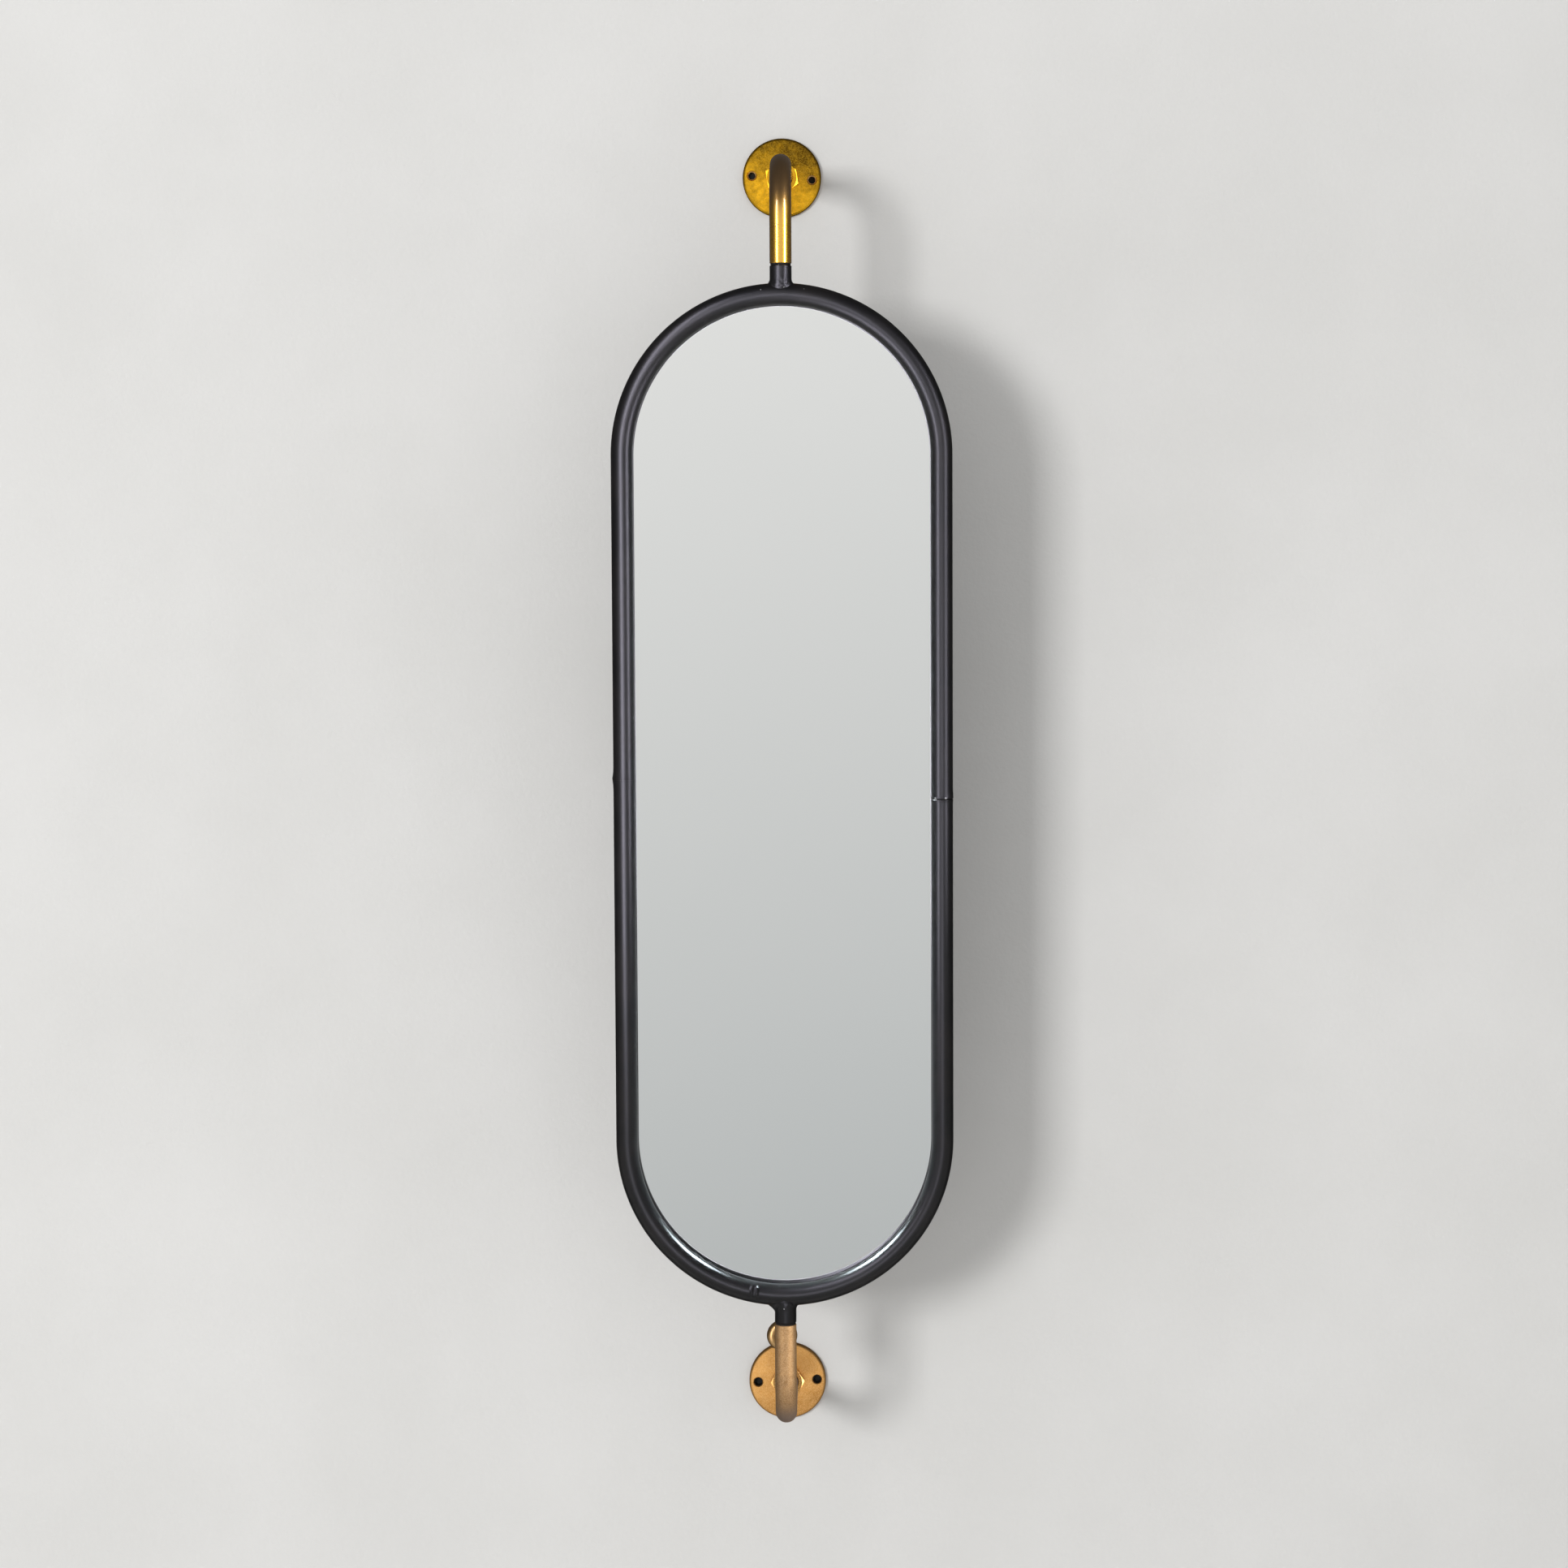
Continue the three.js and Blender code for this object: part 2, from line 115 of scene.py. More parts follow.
def widened(share):
    return Matrix.Diagonal((share, share, 1, 1))


def joined(parts):
    whole = bmesh.new()
    for part in parts:
        holder = bpy.data.meshes.new("part")
        part.to_mesh(holder)
        part.free()
        whole.from_mesh(holder)
        bpy.data.meshes.remove(holder)
    return whole


lit = {}  # pieces by finish, for the lamps that light only some of them


def settle(name, bm, finish, body, nodes, sharp=35):  # makes a finished object of a shape
    bmesh.ops.recalc_face_normals(bm, faces=bm.faces)
    bmesh.ops.scale(bm, vec=(millimetre,) * 3, verts=bm.verts)
    mesh = bpy.data.meshes.new(name)
    bm.to_mesh(mesh)
    bm.free()
    mesh.polygons.foreach_set("use_smooth", [True] * len(mesh.polygons))
    mesh.set_sharp_from_angle(angle=math.radians(sharp))
    mesh.materials.append(finish)
    piece = bpy.data.objects.new(name, mesh)
    bpy.context.collection.objects.link(piece)
    lit.setdefault(finish.name, []).append(piece)
    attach(piece, body)
    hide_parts(*nodes)


# Shader helpers

class Field:  # a socket in a node tree, so that sums on it are written as Python
    def __init__(self, tree, socket=None):
        self.tree, self.socket = tree, socket

    def node(self, kind, settings=None, inputs=None, output=0):
        made = self.tree.nodes.new(kind)
        for name, value in (settings or {}).items():
            setattr(made, name, value)
        for name, value in (inputs or {}).items():
            if isinstance(value, Field):
                self.tree.links.new(value.socket, made.inputs[name])
            else:
                made.inputs[name].default_value = value
        return Field(self.tree, made.outputs[output])

    def sum(self, operation, *terms):
        return self.node("ShaderNodeMath", {"operation": operation}, dict(enumerate(terms)))

    def __add__(self, other):
        return self.sum("ADD", self, other)

    def __sub__(self, other):
        return self.sum("SUBTRACT", self, other)

    def __rsub__(self, other):
        return self.sum("SUBTRACT", other, self)

    def __mul__(self, other):
        return self.sum("MULTIPLY", self, other)

    def __abs__(self):
        return self.sum("ABSOLUTE", self)

    __radd__ = __add__

    def between(self, low, high):  # 0 below low, 1 above high, smooth between
        return self.node("ShaderNodeMapRange", {"interpolation_type": "SMOOTHSTEP"},
                         {"Value": self, "From Min": low, "From Max": high})

    def tint(self, low, high):  # one colour where the field is 0, the other where it is 1
        colours = [colour if isinstance(colour, Field) else (*colour, 1) for colour in (low, high)]
        return self.node("ShaderNodeMix", {"data_type": "RGBA"}, {0: self, 6: colours[0], 7: colours[1]}, 2)

    def grain(self, size, detail=2.0, rough=0.5, twist=0.0):  # noise with grains of that many metres
        return self.node("ShaderNodeTexNoise", {}, {"Vector": self, "Scale": 1 / size, "Detail": detail,
                                                    "Roughness": rough, "Distortion": twist})

    def stretched(self, x, y, z):
        return self.node("ShaderNodeMapping", {}, {"Vector": self, "Scale": (x, y, z)})

    def part(self, axis):  # one coordinate of a place
        return self.node("ShaderNodeSeparateXYZ", {}, {"Vector": self}, "XYZ".index(axis))

    def near(self, place, reach):  # 1 at a place, falling to 0 a reach away
        gap = self.node("ShaderNodeVectorMath", {"operation": "DISTANCE"}, {0: self, 1: place}, 1)
        return 1 - gap.between(0, reach)

    def bump(self, height, strength, base=None):  # height in metres of relief for a field from 0 to 1
        links = {"Strength": strength, "Distance": height, "Height": self}
        if base:
            links["Normal"] = base
        return self.node("ShaderNodeBump", {}, links)


def newFinish(name, links, fixed=None):  # links: what varies over the surface, fixed: what doesn't
    finish = bpy.data.materials.new(name)
    finish.use_nodes = True
    tree = finish.node_tree
    shader = tree.nodes["Principled BSDF"]
    for socket, value in (fixed or {}).items():
        shader.inputs[socket].default_value = value
    where = Field(tree).node("ShaderNodeTexCoord", output=3)
    for socket, field in links(where).items():
        tree.links.new(field.socket, shader.inputs[socket])
    return finish


# Finishes

paint = {
    "black": (0.0042, 0.004, 0.0045),
    "brownBlack": (0.008, 0.0068, 0.0068),
    "glintChipColour": (0.3, 0.3, 0.31),
    "roughness": (0.34, 0.41),
    "glintChips": [  # places in metres and sizes of small bright flecks: chipped paint that also stands as painted highlights on the lumps
        ((0.0025, -0.1427, 0.3738), 0.0007),
        ((-0.0145, -0.1421, 0.3722), 0.0005),
        ((0.017, -0.1421, 0.3728), 0.0005),
        ((-0.0222, -0.1412, -0.363), 0.0008),
        ((-0.0218, -0.142, -0.3652), 0.0008),
        ((-0.001, -0.1428, -0.3785), 0.0006),
        ((0.112, -0.141, 0.0004), 0.0012),
        ((0.1195, -0.1428, 0.001), 0.001),
    ],
}


def paintLinks(where):
    drift = where.grain(0.03, 3, 0.55)
    fine = where.grain(0.0007, 2, 0.6)
    peel = where.grain(0.0032, 2, 0.5)
    glintChips = 0
    for place, size in paint["glintChips"]:
        glintChips = where.near(place, size * 2.2) + glintChips
    # painted highlights: light grey flecks where the lumps and seams catch the light, drawn as chipped paint
    glintChipMask = (glintChips * 1.15 - where.grain(0.0006, 3, 0.7) * 0.9).between(0.28, 0.42)
    colour = drift.between(0.35, 0.7).tint(paint["black"], paint["brownBlack"])
    low, high = paint["roughness"]
    return {
        "Base Color": glintChipMask.tint(colour, paint["glintChipColour"]),
        "Roughness": drift * (high - low) + low + (fine - 0.5) * 0.08,
        "Normal": fine.bump(0.00002, 0.2, peel.bump(0.00002, 0.2)),
    }


blackPaint = newFinish("blackPaint", paintLinks, {"Specular IOR Level": 0.32})


def brassLinks(tones):
    def links(where):
        patches = where.grain(tones["patchSize"], 4, 0.62, 0.6).between(0.32, 0.68)
        mottle = where.grain(tones["mottleSize"], 3, 0.6)
        grain = where.grain(tones["grainSize"], 2, 0.7)
        lines = where.stretched(*tones["linesAlong"]).grain(0.0005, 2, 0.5)
        height = where.part("Z")
        stainAndShade = patches * tones["patchDepth"] + (mottle - 0.5) * tones["mottleDepth"]
        if "shade" in tones:  # painted shade: one side of the disc darker than the rest
            sideways, upwards, start, end, depth = tones["shade"]
            stainAndShade = (where.part("X") * sideways + height * upwards).between(start, end) * depth + stainAndShade
        colour = stainAndShade.tint(tones["bright"], tones["dark"])
        colour = (grain.between(0.35, 0.68) * tones["grainDepth"]).tint(colour, tones["speck"])
        rough = stainAndShade * tones["stainRough"] + tones["roughness"] + (grain - 0.5) * tones["grainRough"]
        if "patinaAndBendShade" in tones:  # brown over the bend: patina, and painted shade where the bend faces up or down
            patinaAndShadeMask = abs(height).between(*tones["patinaAndShadeFrom"])
            colour = (patinaAndShadeMask * tones["patinaAndShadeDepth"]).tint(colour, tones["patinaAndBendShade"])
            rough = rough + patinaAndShadeMask * tones["patinaRough"]
        if "sinkGlintAndShade" in tones:  # the countersinks: a painted highlight ring on the upper plate, painted shade on the lower
            ring = sum((where.near(place, 0.0062) for place in tones["sinks"]), 0).between(0.3, 0.42)
            colour = ring.tint(colour, tones["sinkGlintAndShade"])
            rough = ring * 0.25 + rough
        return {
            "Base Color": colour,
            "Roughness": rough,
            "Normal": grain.bump(tones["grainHeight"], 0.5, lines.bump(tones["linesHeight"], 0.4)),
        }
    return links


amber = {  # upper plate: golden, mottled with darker tarnish
    "bright": (0.88, 0.45, 0.014), "dark": (0.15, 0.07, 0.004), "speck": (1.0, 0.6, 0.06),
    "patchSize": 0.015, "patchDepth": 0.34, "mottleSize": 0.003, "mottleDepth": 1.15,
    "grainSize": 0.0008, "grainDepth": 0.42, "grainHeight": 0.00003, "grainRough": 0.12,
    "linesAlong": (1, 1, 1), "linesHeight": 0.00001, "roughness": 0.28, "stainRough": 0.16,
}
satin = {  # lower plate: paler, satin, evenly grained
    **amber, "bright": (0.6, 0.3, 0.08), "dark": (0.36, 0.155, 0.03), "speck": (0.76, 0.48, 0.2),
    "patchDepth": 0.3, "mottleDepth": 0.5, "grainDepth": 0.65, "grainHeight": 0.00007,
    "grainRough": 0.18, "roughness": 0.5, "stainRough": 0.1,
}
gold = {  # upper arm: polished
    "bright": (0.88, 0.46, 0.022), "dark": (0.62, 0.3, 0.014), "speck": (0.95, 0.58, 0.08),
    "patchSize": 0.016, "patchDepth": 0.15, "mottleSize": 0.0032, "mottleDepth": 0.2,
    "grainSize": 0.0006, "grainDepth": 0.2, "grainHeight": 0.00002, "grainRough": 0.1,
    "linesAlong": (1, 1, 0.03), "linesHeight": 0.000012, "roughness": 0.26, "stainRough": 0.12,
}
worn = {  # lower arm and boss: duller tan
    **gold, "bright": (0.36, 0.21, 0.091), "dark": (0.165, 0.09, 0.044), "speck": (0.53, 0.37, 0.212),
    "patchDepth": 0.4, "mottleDepth": 0.55, "grainSize": 0.0009, "grainDepth": 0.6, "grainHeight": 0.00006,
    "grainRough": 0.2, "linesAlong": (1, 1, 0.06), "roughness": 0.64,
}
marks = {  # what ageing and the drill left on one piece only, and painted light: shade on a side of each plate and over the bends, a highlight round the upper countersinks and shade in the lower ones
    # upper plate: painted shade towards the top and right, and a painted highlight round the countersinks
    "upperPlate": {"shade": (0.35, 0.92, 0.42, 0.452, 0.78), "sinkGlintAndShade": (1.0, 0.7, 0.3),
                   "sinks": [(-0.0229, -0.003, 0.4682), (0.0229, -0.003, 0.4648)]},
    # lower plate: painted shade towards the bottom and in the countersinks
    "lowerPlate": {"shade": (0.3, -0.95, 0.438, 0.475, 0.62), "sinkGlintAndShade": (0.06, 0.05, 0.035),
                   "sinks": [(-0.023, -0.003, -0.4675), (0.023, -0.003, -0.4655)]},
    # patina with painted shade over each arm's bend
    "upperArm": {"patinaAndBendShade": (0.205, 0.115, 0.046), "patinaAndShadeFrom": (0.416, 0.446), "patinaAndShadeDepth": 0.95,
                 "patinaRough": 0.18},
    "lowerArm": {"patinaAndBendShade": (0.225, 0.175, 0.148), "patinaAndShadeFrom": (0.448, 0.469), "patinaAndShadeDepth": 0.88,
                 "patinaRough": 0.1},
}
polished = {"Metallic": 1, "Coat Weight": 1.0, "Coat Roughness": 0.16, "Coat IOR": 1.85}
brasses = {
    name: newFinish(name, brassLinks(tones), polished if name == "goldBrass" else {"Metallic": 1})
    for name, tones in {
        "amberBrass": {**amber, **marks["upperPlate"]},
        "satinBrass": {**satin, **marks["lowerPlate"]},
        "goldBrass": {**gold, **marks["upperArm"]},
        "wornBrass": {**worn, **marks["lowerArm"]},
        "bronzeBrass": {**worn, "bright": (0.56, 0.35, 0.145), "grainDepth": 0.3, "grainHeight": 0.00002,
                        "roughness": 0.33},
        "upperNutBrass": {**gold, "dark": (0.3, 0.14, 0.008), "patchDepth": 0.3, "roughness": 0.2},
        "lowerNutBrass": {**satin, "grainHeight": 0.00003, "roughness": 0.26},
    }.items()
}


def glassLinks(where):
    haze = where.grain(0.09, 3, 0.55)
    dust = where.grain(0.0011, 2, 0.6).between(0.66, 0.78)
    edge = 1 - where.part("Y").between(-0.12796, -0.1277)
    face = haze.tint((0.9, 0.908, 0.902), (0.915, 0.918, 0.912))
    return {
        "Base Color": edge.tint((0.3, 0.42, 0.38), face),
        "Roughness": haze * 0.012 + dust * 0.02 + 0.012,
    }


silvered = newFinish("silveredGlass", glassLinks, {"Metallic": 1})


def sheetLinks(where):
    drift = where.grain(0.05, 3, 0.55)
    grit = where.grain(0.0009, 3, 0.65)
    rub = (where.grain(0.012, 4, 0.7) - 0.62).between(0, 0.1)
    return {
        "Base Color": (rub * 0.5).tint(drift.tint((0.0165, 0.0165, 0.0172), (0.024, 0.0232, 0.023)),
                                       (0.05, 0.049, 0.048)),
        "Roughness": drift * 0.16 + 0.46 + (grit - 0.5) * 0.14,
        "Normal": grit.bump(0.00009, 0.45),
    }


def steelLinks(where):
    turnedLines = where.stretched(1, 6, 1).grain(0.0006, 2, 0.5)
    tarnish = where.grain(0.004, 3, 0.6)
    return {
        "Base Color": tarnish.between(0.3, 0.75).tint((0.52, 0.52, 0.51), (0.3, 0.29, 0.27)),
        "Roughness": tarnish * 0.2 + 0.24 + (turnedLines - 0.5) * 0.12,
        "Normal": turnedLines.bump(0.00003, 0.4),
    }


def nylonLinks(where):
    cloud = where.grain(0.006, 3, 0.6)
    fine = where.grain(0.0005, 2, 0.6)
    return {
        "Base Color": cloud.tint((0.011, 0.011, 0.0118), (0.018, 0.0178, 0.018)),
        "Roughness": cloud * 0.12 + 0.44 + (fine - 0.5) * 0.08,
        "Normal": fine.bump(0.00003, 0.3),
    }


def foamLinks(where):
    cells = where.node("ShaderNodeTexVoronoi", {}, {"Vector": where, "Scale": 1 / 0.0009})
    return {
        "Base Color": cells.between(0.05, 0.5).tint((0.055, 0.057, 0.06), (0.12, 0.124, 0.13)),
        "Roughness": cells * 0.1 + 0.86,
        "Normal": cells.bump(0.0003, 0.6),
    }


blackSheet = newFinish("blackSheet", sheetLinks)
screwSteel = newFinish("screwSteel", steelLinks, {"Metallic": 1})
blackNylon = newFinish("blackNylon", nylonLinks)
greyFoam = newFinish("greyFoam", foamLinks)
print("finishes made")


# Frame tube: two bends with butted, ground and painted seams

hoop = {
    "bendRadius": 117, "straight": 252.5, "wall": 1.5,
    "arcs": [(96, 96), (11, 36), (73, 73)],  # degrees and steps, finest over the welded scar
    "rings": [0, 0.2, 0.5, 0.9, 1.4, 2, 2.7, 3.5, 4.5, 6, 8, 10, 12, 14, 17, 21, 27, 40, 80, 140, 200],
    "clear": 5,  # from the last of these rings to the bend
    "boreCoarser": 3,  # the bore has a third of the bend's steps
}
grinding = {  # coarse and fine: the roughness's waves per millimetre; faded: in reaches of a lump
    "skin": 0.8, "reach": 14, "lipWidth": 0.28, "coarse": 0.45, "fine": 1.3, "faded": 3,
}
seams = {  # joints with the rings that grinding left, and a scar at the foot
    "left": {"height": 15, "gap": 0.02, "lip": 0, "lift": 0.12, "width": 3.2},
    "right": {"height": 0, "gap": 0.1, "lip": 0.4, "lift": 0.34, "width": 1.7},
    "foot": {"centre": (-23.2, -141.3, -365.2), "across": 2.3, "along": 4.2, "lift": 0.55, "width": 0.32},
}
lumps = [  # (place, reach, lift): filled weld ends on the tube
    ((-125.2, -134, 15.5), 4.6, 0.62), ((124.6, -138, 3.4), 2.6, 0.35), ((110.2, -140.0, -1.6), 1.6, 0.4),
    ((-21.2, -141.4, -363.3), 1.1, 0.4), ((-14.5, -142.1, 372.2), 0.8, 0.2),
    ((17.0, -142.1, 372.8), 0.8, 0.2),
]


def tubeCentre(place):  # nearest point on the tube's centre line
    top = math.copysign(hoop["straight"], place.z)
    across = Vector((place.x, 0, place.z - top))
    if abs(place.z) <= abs(top):
        return Vector((math.copysign(hoop["bendRadius"], place.x), pivotY, place.z))
    return across.normalized() * hoop["bendRadius"] + Vector((0, pivotY, top))


def weathered(bm):  # lifts the outside of the tube where it was welded and ground
    for vert in bm.verts:
        place = vert.co.copy()
        outwards = place - tubeCentre(place)
        if outwards.length < shared["tube"] - grinding["skin"]:
            continue
        outwards.normalize()
        rough = noise.noise(place * grinding["coarse"]) + 0.5 * noise.noise(place * grinding["fine"])
        lift = 0
        seam = seams["right" if place.x > 0 else "left"]
        along = place.z - seam["height"]
        if abs(along) < grinding["reach"]:
            bulge = math.exp(-((along - 0.7 * rough) / seam["width"]) ** 2)
            lift += seam["lift"] * (0.75 + 0.5 * rough) * bulge
            lift -= seam["lip"] * math.exp(-((abs(along) - seam["gap"]) / grinding["lipWidth"]) ** 2)
        scar = seams["foot"]  # an oval ring with a low middle
        off = place - Vector(scar["centre"])
        gap = math.hypot(off.x / scar["across"], off.y / scar["along"], off.z / scar["along"])
        if gap < grinding["faded"]:
            lift += scar["lift"] * (1 + 0.8 * rough) * math.exp(-((gap - 1) / scar["width"]) ** 2)
        for spot, reach, height in lumps:
            gap = (place - Vector(spot)).length / reach
            if gap < grinding["faded"]:
                lift += height * math.exp(-gap * gap) * (1 + 0.4 * rough)
        vert.co = place + outwards * lift


def legHeights(seam, side):  # rings of one leg from its seam to the bend, before any half turn
    start = signs[side] * seam["height"] + seam["gap"]
    stop = hoop["straight"]
    return [*(start + ring for ring in hoop["rings"] if start + ring < stop - hoop["clear"]), stop]


def frameBend(firstLeg, lastLeg, place):
    bm = bmesh.new()
    x, y = hoop["bendRadius"], pivotY
    ends = []
    for radius in (shared["tube"], shared["tube"] - hoop["wall"]):
        outside = radius == shared["tube"]
        first, last = (leg if outside else leg[::len(leg) - 1] for leg in (firstLeg, lastLeg))
        ring = circleAt(bm, radius, shared["round"], shifted(-x, y, first[0]))
        ends.append(ring)
        for low, high in zip(first, first[1:]):
            ring = pulled(bm, ring, shifted(z=high - low))
        for angle, steps in hoop["arcs"]:
            steps = steps if outside else steps // hoop["boreCoarser"]
            ring = swung(bm, ring, (0, y, hoop["straight"]), (0, 1, 0), math.radians(angle), steps)
        for high, low in zip(last[::-1], last[-2::-1]):
            ring = pulled(bm, ring, shifted(z=low - high))
        ends.append(ring)
    tubeClosed(bm, ends)
    moved(bm, place)
    weathered(bm)
    return bm


for side, legs in (("upper", ("left", "right")), ("lower", ("right", "left"))):
    bend = frameBend(*(legHeights(seams[leg], side) for leg in legs), halves[side])
    settle(f"{side}FrameBend", bend, blackPaint, "mirror", [f"frame_{side}_bend"], 40)
print("frame bends made")


# Stubs with their weld beads

stubs = {
    "crown": 377.5, "length": 12.6, "edge": 0.5, "segments": 72,
    "shaftTop": 11.6, "shaftStep": 0.85, "shaftRings": 10,
    "reach": 2.3, "height": 3.5,  # of the fillet on the left and right
    "frontStart": -1.2, "frontToe": 7.25,  # and of its front
    "spillReach": 3.2, "spillHeight": 1.3,  # what the spilt bead adds on the right
    "mark": -2, "rings": 9,  # height that marks the fillet's first ring, one less for each
    "toeSink": 0.12, "footShare": 0.94, "footSink": 0.7,
    "beadHeight": -0.5, "beadWidth": 3.0, "beadLift": 0.22, "beadCoarse": 0.75, "beadFine": 1.9,
    "beadTop": 9, "beadSkin": 1.5,  # spatter: (place, reach, lift)
    "upper": {"spill": 0.0, "spatter": [
        ((1.9, -143.1, 379.6), 1.35, 0.55), ((-2.4, -143.0, 378.3), 0.9, 0.3),
        ((2.6, -142.4, 375.2), 1.0, 0.35), ((-3.6, -142.0, 374.9), 1.3, 0.28),
    ]},
    "lower": {"spill": 1.0, "spatter": [
        ((9.0, -138.5, 380.6), 1.2, 0.9), ((11.0, -139.5, 378.3), 1.2, 0.9),
        ((13.6, -139.0, 376.6), 1.1, 0.6), ((0.6, -143.0, 377.9), 1.1, 0.35),
        ((-4.5, -141.6, 375.9), 1.2, 0.4),
    ]},
}


def tubeTop(x, y):  # height of the frame tube's surface above its crown
    swing = hoop["bendRadius"] + math.sqrt(max(0, shared["tube"] ** 2 - y * y))
    return math.sqrt(swing ** 2 - x * x) - hoop["bendRadius"] - shared["tube"]


def stubShape(which):
    tube, bore = shared["tube"], shared["pinBore"]
    top, edge, mark, rings = stubs["length"], stubs["edge"], stubs["mark"], stubs["rings"]
    shaft = [(tube, stubs["shaftTop"] - stubs["shaftStep"] * i) for i in range(stubs["shaftRings"])]
    fillet = [(tube + 0.1 * (i + 1), mark - i) for i in range(rings)]  # only marked here, and placed below
    bm = turned([(bore, top), (tube - edge, top), (tube, top - edge), *shaft, *fillet,
                 (tube + 0.6, mark - rings - 0.3), (bore, mark - rings - 1.3)], stubs["segments"])
    shaftTop, shaftFoot = shaft[0][1], shaft[-1][1]
    for vert in bm.verts:
        step = round(mark - vert.co.z)
        radius = math.hypot(vert.co.x, vert.co.y)
        cosine, sine = vert.co.x / radius, vert.co.y / radius
        spill = which["spill"] * max(0, cosine) ** 4
        reach = (tube + stubs["reach"] + stubs["spillReach"] * spill) * cosine, stubs["frontToe"] * sine
        toe = Vector((*reach, tubeTop(*reach) - stubs["toeSink"]))
        begin = stubs["height"] * cosine ** 2 + stubs["frontStart"] * sine ** 2 + stubs["spillHeight"] * spill
        if vert.co.z > 0:
            onShaft = radius > tube - shared["skin"] and vert.co.z < top - 2 * edge
            if onShaft:  # the shaft's rings close up above the bead
                share = (vert.co.z - shaftFoot) / (shaftTop - shaftFoot)
                vert.co.z = begin + (shaftTop - begin) * share
        elif 0 <= step < rings and radius > bore + 1:
            share = (step + 1) / rings
            bend = 1 - math.sqrt(1 - share ** 2) if spill < 0.05 else share ** (2 - spill * 0.8)
            bend = bend * cosine ** 2 + share ** 2 * sine ** 2
            start = Vector((tube * cosine, tube * sine, begin))
            drop = share ** 0.8 if abs(cosine) > 0.7 else share
            vert.co = Vector((start.x + (toe.x - start.x) * bend, start.y + (toe.y - start.y) * bend,
                              start.z + (toe.z - start.z) * drop))
        elif radius > bore + 0.5:  # the foot and the bore end inside the frame tube's wall
            inner = reach[0] * stubs["footShare"], reach[1] * stubs["footShare"]
            vert.co = Vector((*inner, tubeTop(*inner) - stubs["footSink"]))
        else:
            vert.co.z = tubeTop(vert.co.x, vert.co.y) - stubs["footSink"]
    moved(bm, shifted(0, pivotY, stubs["crown"]))
    for vert in bm.verts:  # the bead's lumps and the spatter
        place = vert.co.copy()
        outwards = Vector((place.x, place.y - pivotY, 0))
        height = place.z - stubs["crown"]
        if outwards.length < tube - stubs["beadSkin"] or height > stubs["beadTop"]:
            continue
        bead = math.exp(-((height - stubs["beadHeight"]) / stubs["beadWidth"]) ** 2)
        rough = noise.noise(place * stubs["beadCoarse"]) + 0.6 * noise.noise(place * stubs["beadFine"])
        lift = stubs["beadLift"] * bead * rough
        for spot, reach, rise in which["spatter"]:
            gap = (place - Vector(spot)).length / reach
            if gap < grinding["faded"]:
                lift += rise * math.exp(-gap * gap)
        vert.co = place + outwards.normalized() * lift
    return bm


for side, place in halves.items():
    settle(f"{side}Stub", moved(stubShape(stubs[side]), place), blackPaint, "mirror", [f"{side}_stub"],
           40)
print("stubs made")


# Glass and its tray

glass = {"radius": 111.6, "front": -128, "back": -124, "arris": 0.6, "facets": 160}
tray = {  # sizes across the mirror are radii of its round ends
    "back": -121.9, "sheet": 1.0, "wall": 113.2, "wallRound": 1.0, "insideRound": 0.4,
    "root": -125.9, "rootRound": 0.6, "rim": 120.75, "rimMiddle": -126.4, "rimBulge": 0.25, "rimHalf": 0.5,
    "bead": [(99.5, 0), (98.5, -0.25), (97, -0.6), (95, -0.6), (93.5, -0.25), (92.5, 0)],
}


def stadiumRing(bm, radius, y):  # a ring of edges in the frame's round-ended outline
    verts = bmesh.ops.create_circle(bm, segments=glass["facets"], radius=radius)["verts"]
    half = Matrix.Rotation(math.pi / glass["facets"], 3, "Z")  # half a facet, so that both ends are alike
    bmesh.ops.rotate(bm, cent=(0, 0, 0), matrix=half, verts=verts)
    bmesh.ops.rotate(bm, cent=(0, 0, 0), matrix=Matrix.Rotation(math.pi / 2, 3, "X"), verts=verts)
    for half in (1, -1):
        chosen = [vert for vert in verts if vert.co.z * half > 0]
        bmesh.ops.translate(bm, vec=(0, y, half * hoop["straight"]), verts=chosen)
    return ringEdges(verts)


def stadiumShell(rings):  # rings bridged in turn, the first and last filled
    bm = bmesh.new()
    loops = [stadiumRing(bm, radius, y) for radius, y in rings]
    for near, far in zip(loops, loops[1:]):
        bmesh.ops.bridge_loops(bm, edges=near + far)
    for end in (loops[0], loops[-1]):
        bmesh.ops.contextual_create(bm, geom=end)
    return bm


edge = glass["radius"] - glass["arris"]
settle("mirrorPlate", stadiumShell([
    (edge, glass["front"]), (glass["radius"], glass["front"] + glass["arris"]),
    (glass["radius"], glass["back"] - glass["arris"]), (edge, glass["back"])]),
    silvered, "mirror", ["mirror_glass"], 20)


def sectionArc(radius, y, wide, high, angles):  # points round a bend in the sheet, 0 towards the wall
    return [(radius + wide * math.sin(math.radians(angle)), y + high * math.cos(math.radians(angle)))
            for angle in angles]


def traySection():  # from the back's middle round the rim to the front's middle
    back, front, wall = tray["back"], tray["back"] - tray["sheet"], tray["wall"]
    curve, root, inside = tray["wallRound"], tray["rootRound"], tray["insideRound"]
    beadBack = [(radius, back + dip) for radius, dip in tray["bead"]][::-1]
    outsideWall = sectionArc(wall - curve, back - curve, curve, curve, range(0, 91, 15))
    outsideRoot = sectionArc(wall + root, tray["root"] + root, root, root, range(-90, -181, -15))
    rimEdge = sectionArc(tray["rim"], tray["rimMiddle"], tray["rimBulge"], tray["rimHalf"], range(0, 181, 30))
    insideWall = sectionArc(wall - tray["sheet"] - inside, front - inside, inside, inside, range(90, -1, -15))
    beadFront = [(radius, front + dip) for radius, dip in tray["bead"]]
    return beadBack + outsideWall + outsideRoot + rimEdge + insideWall + beadFront


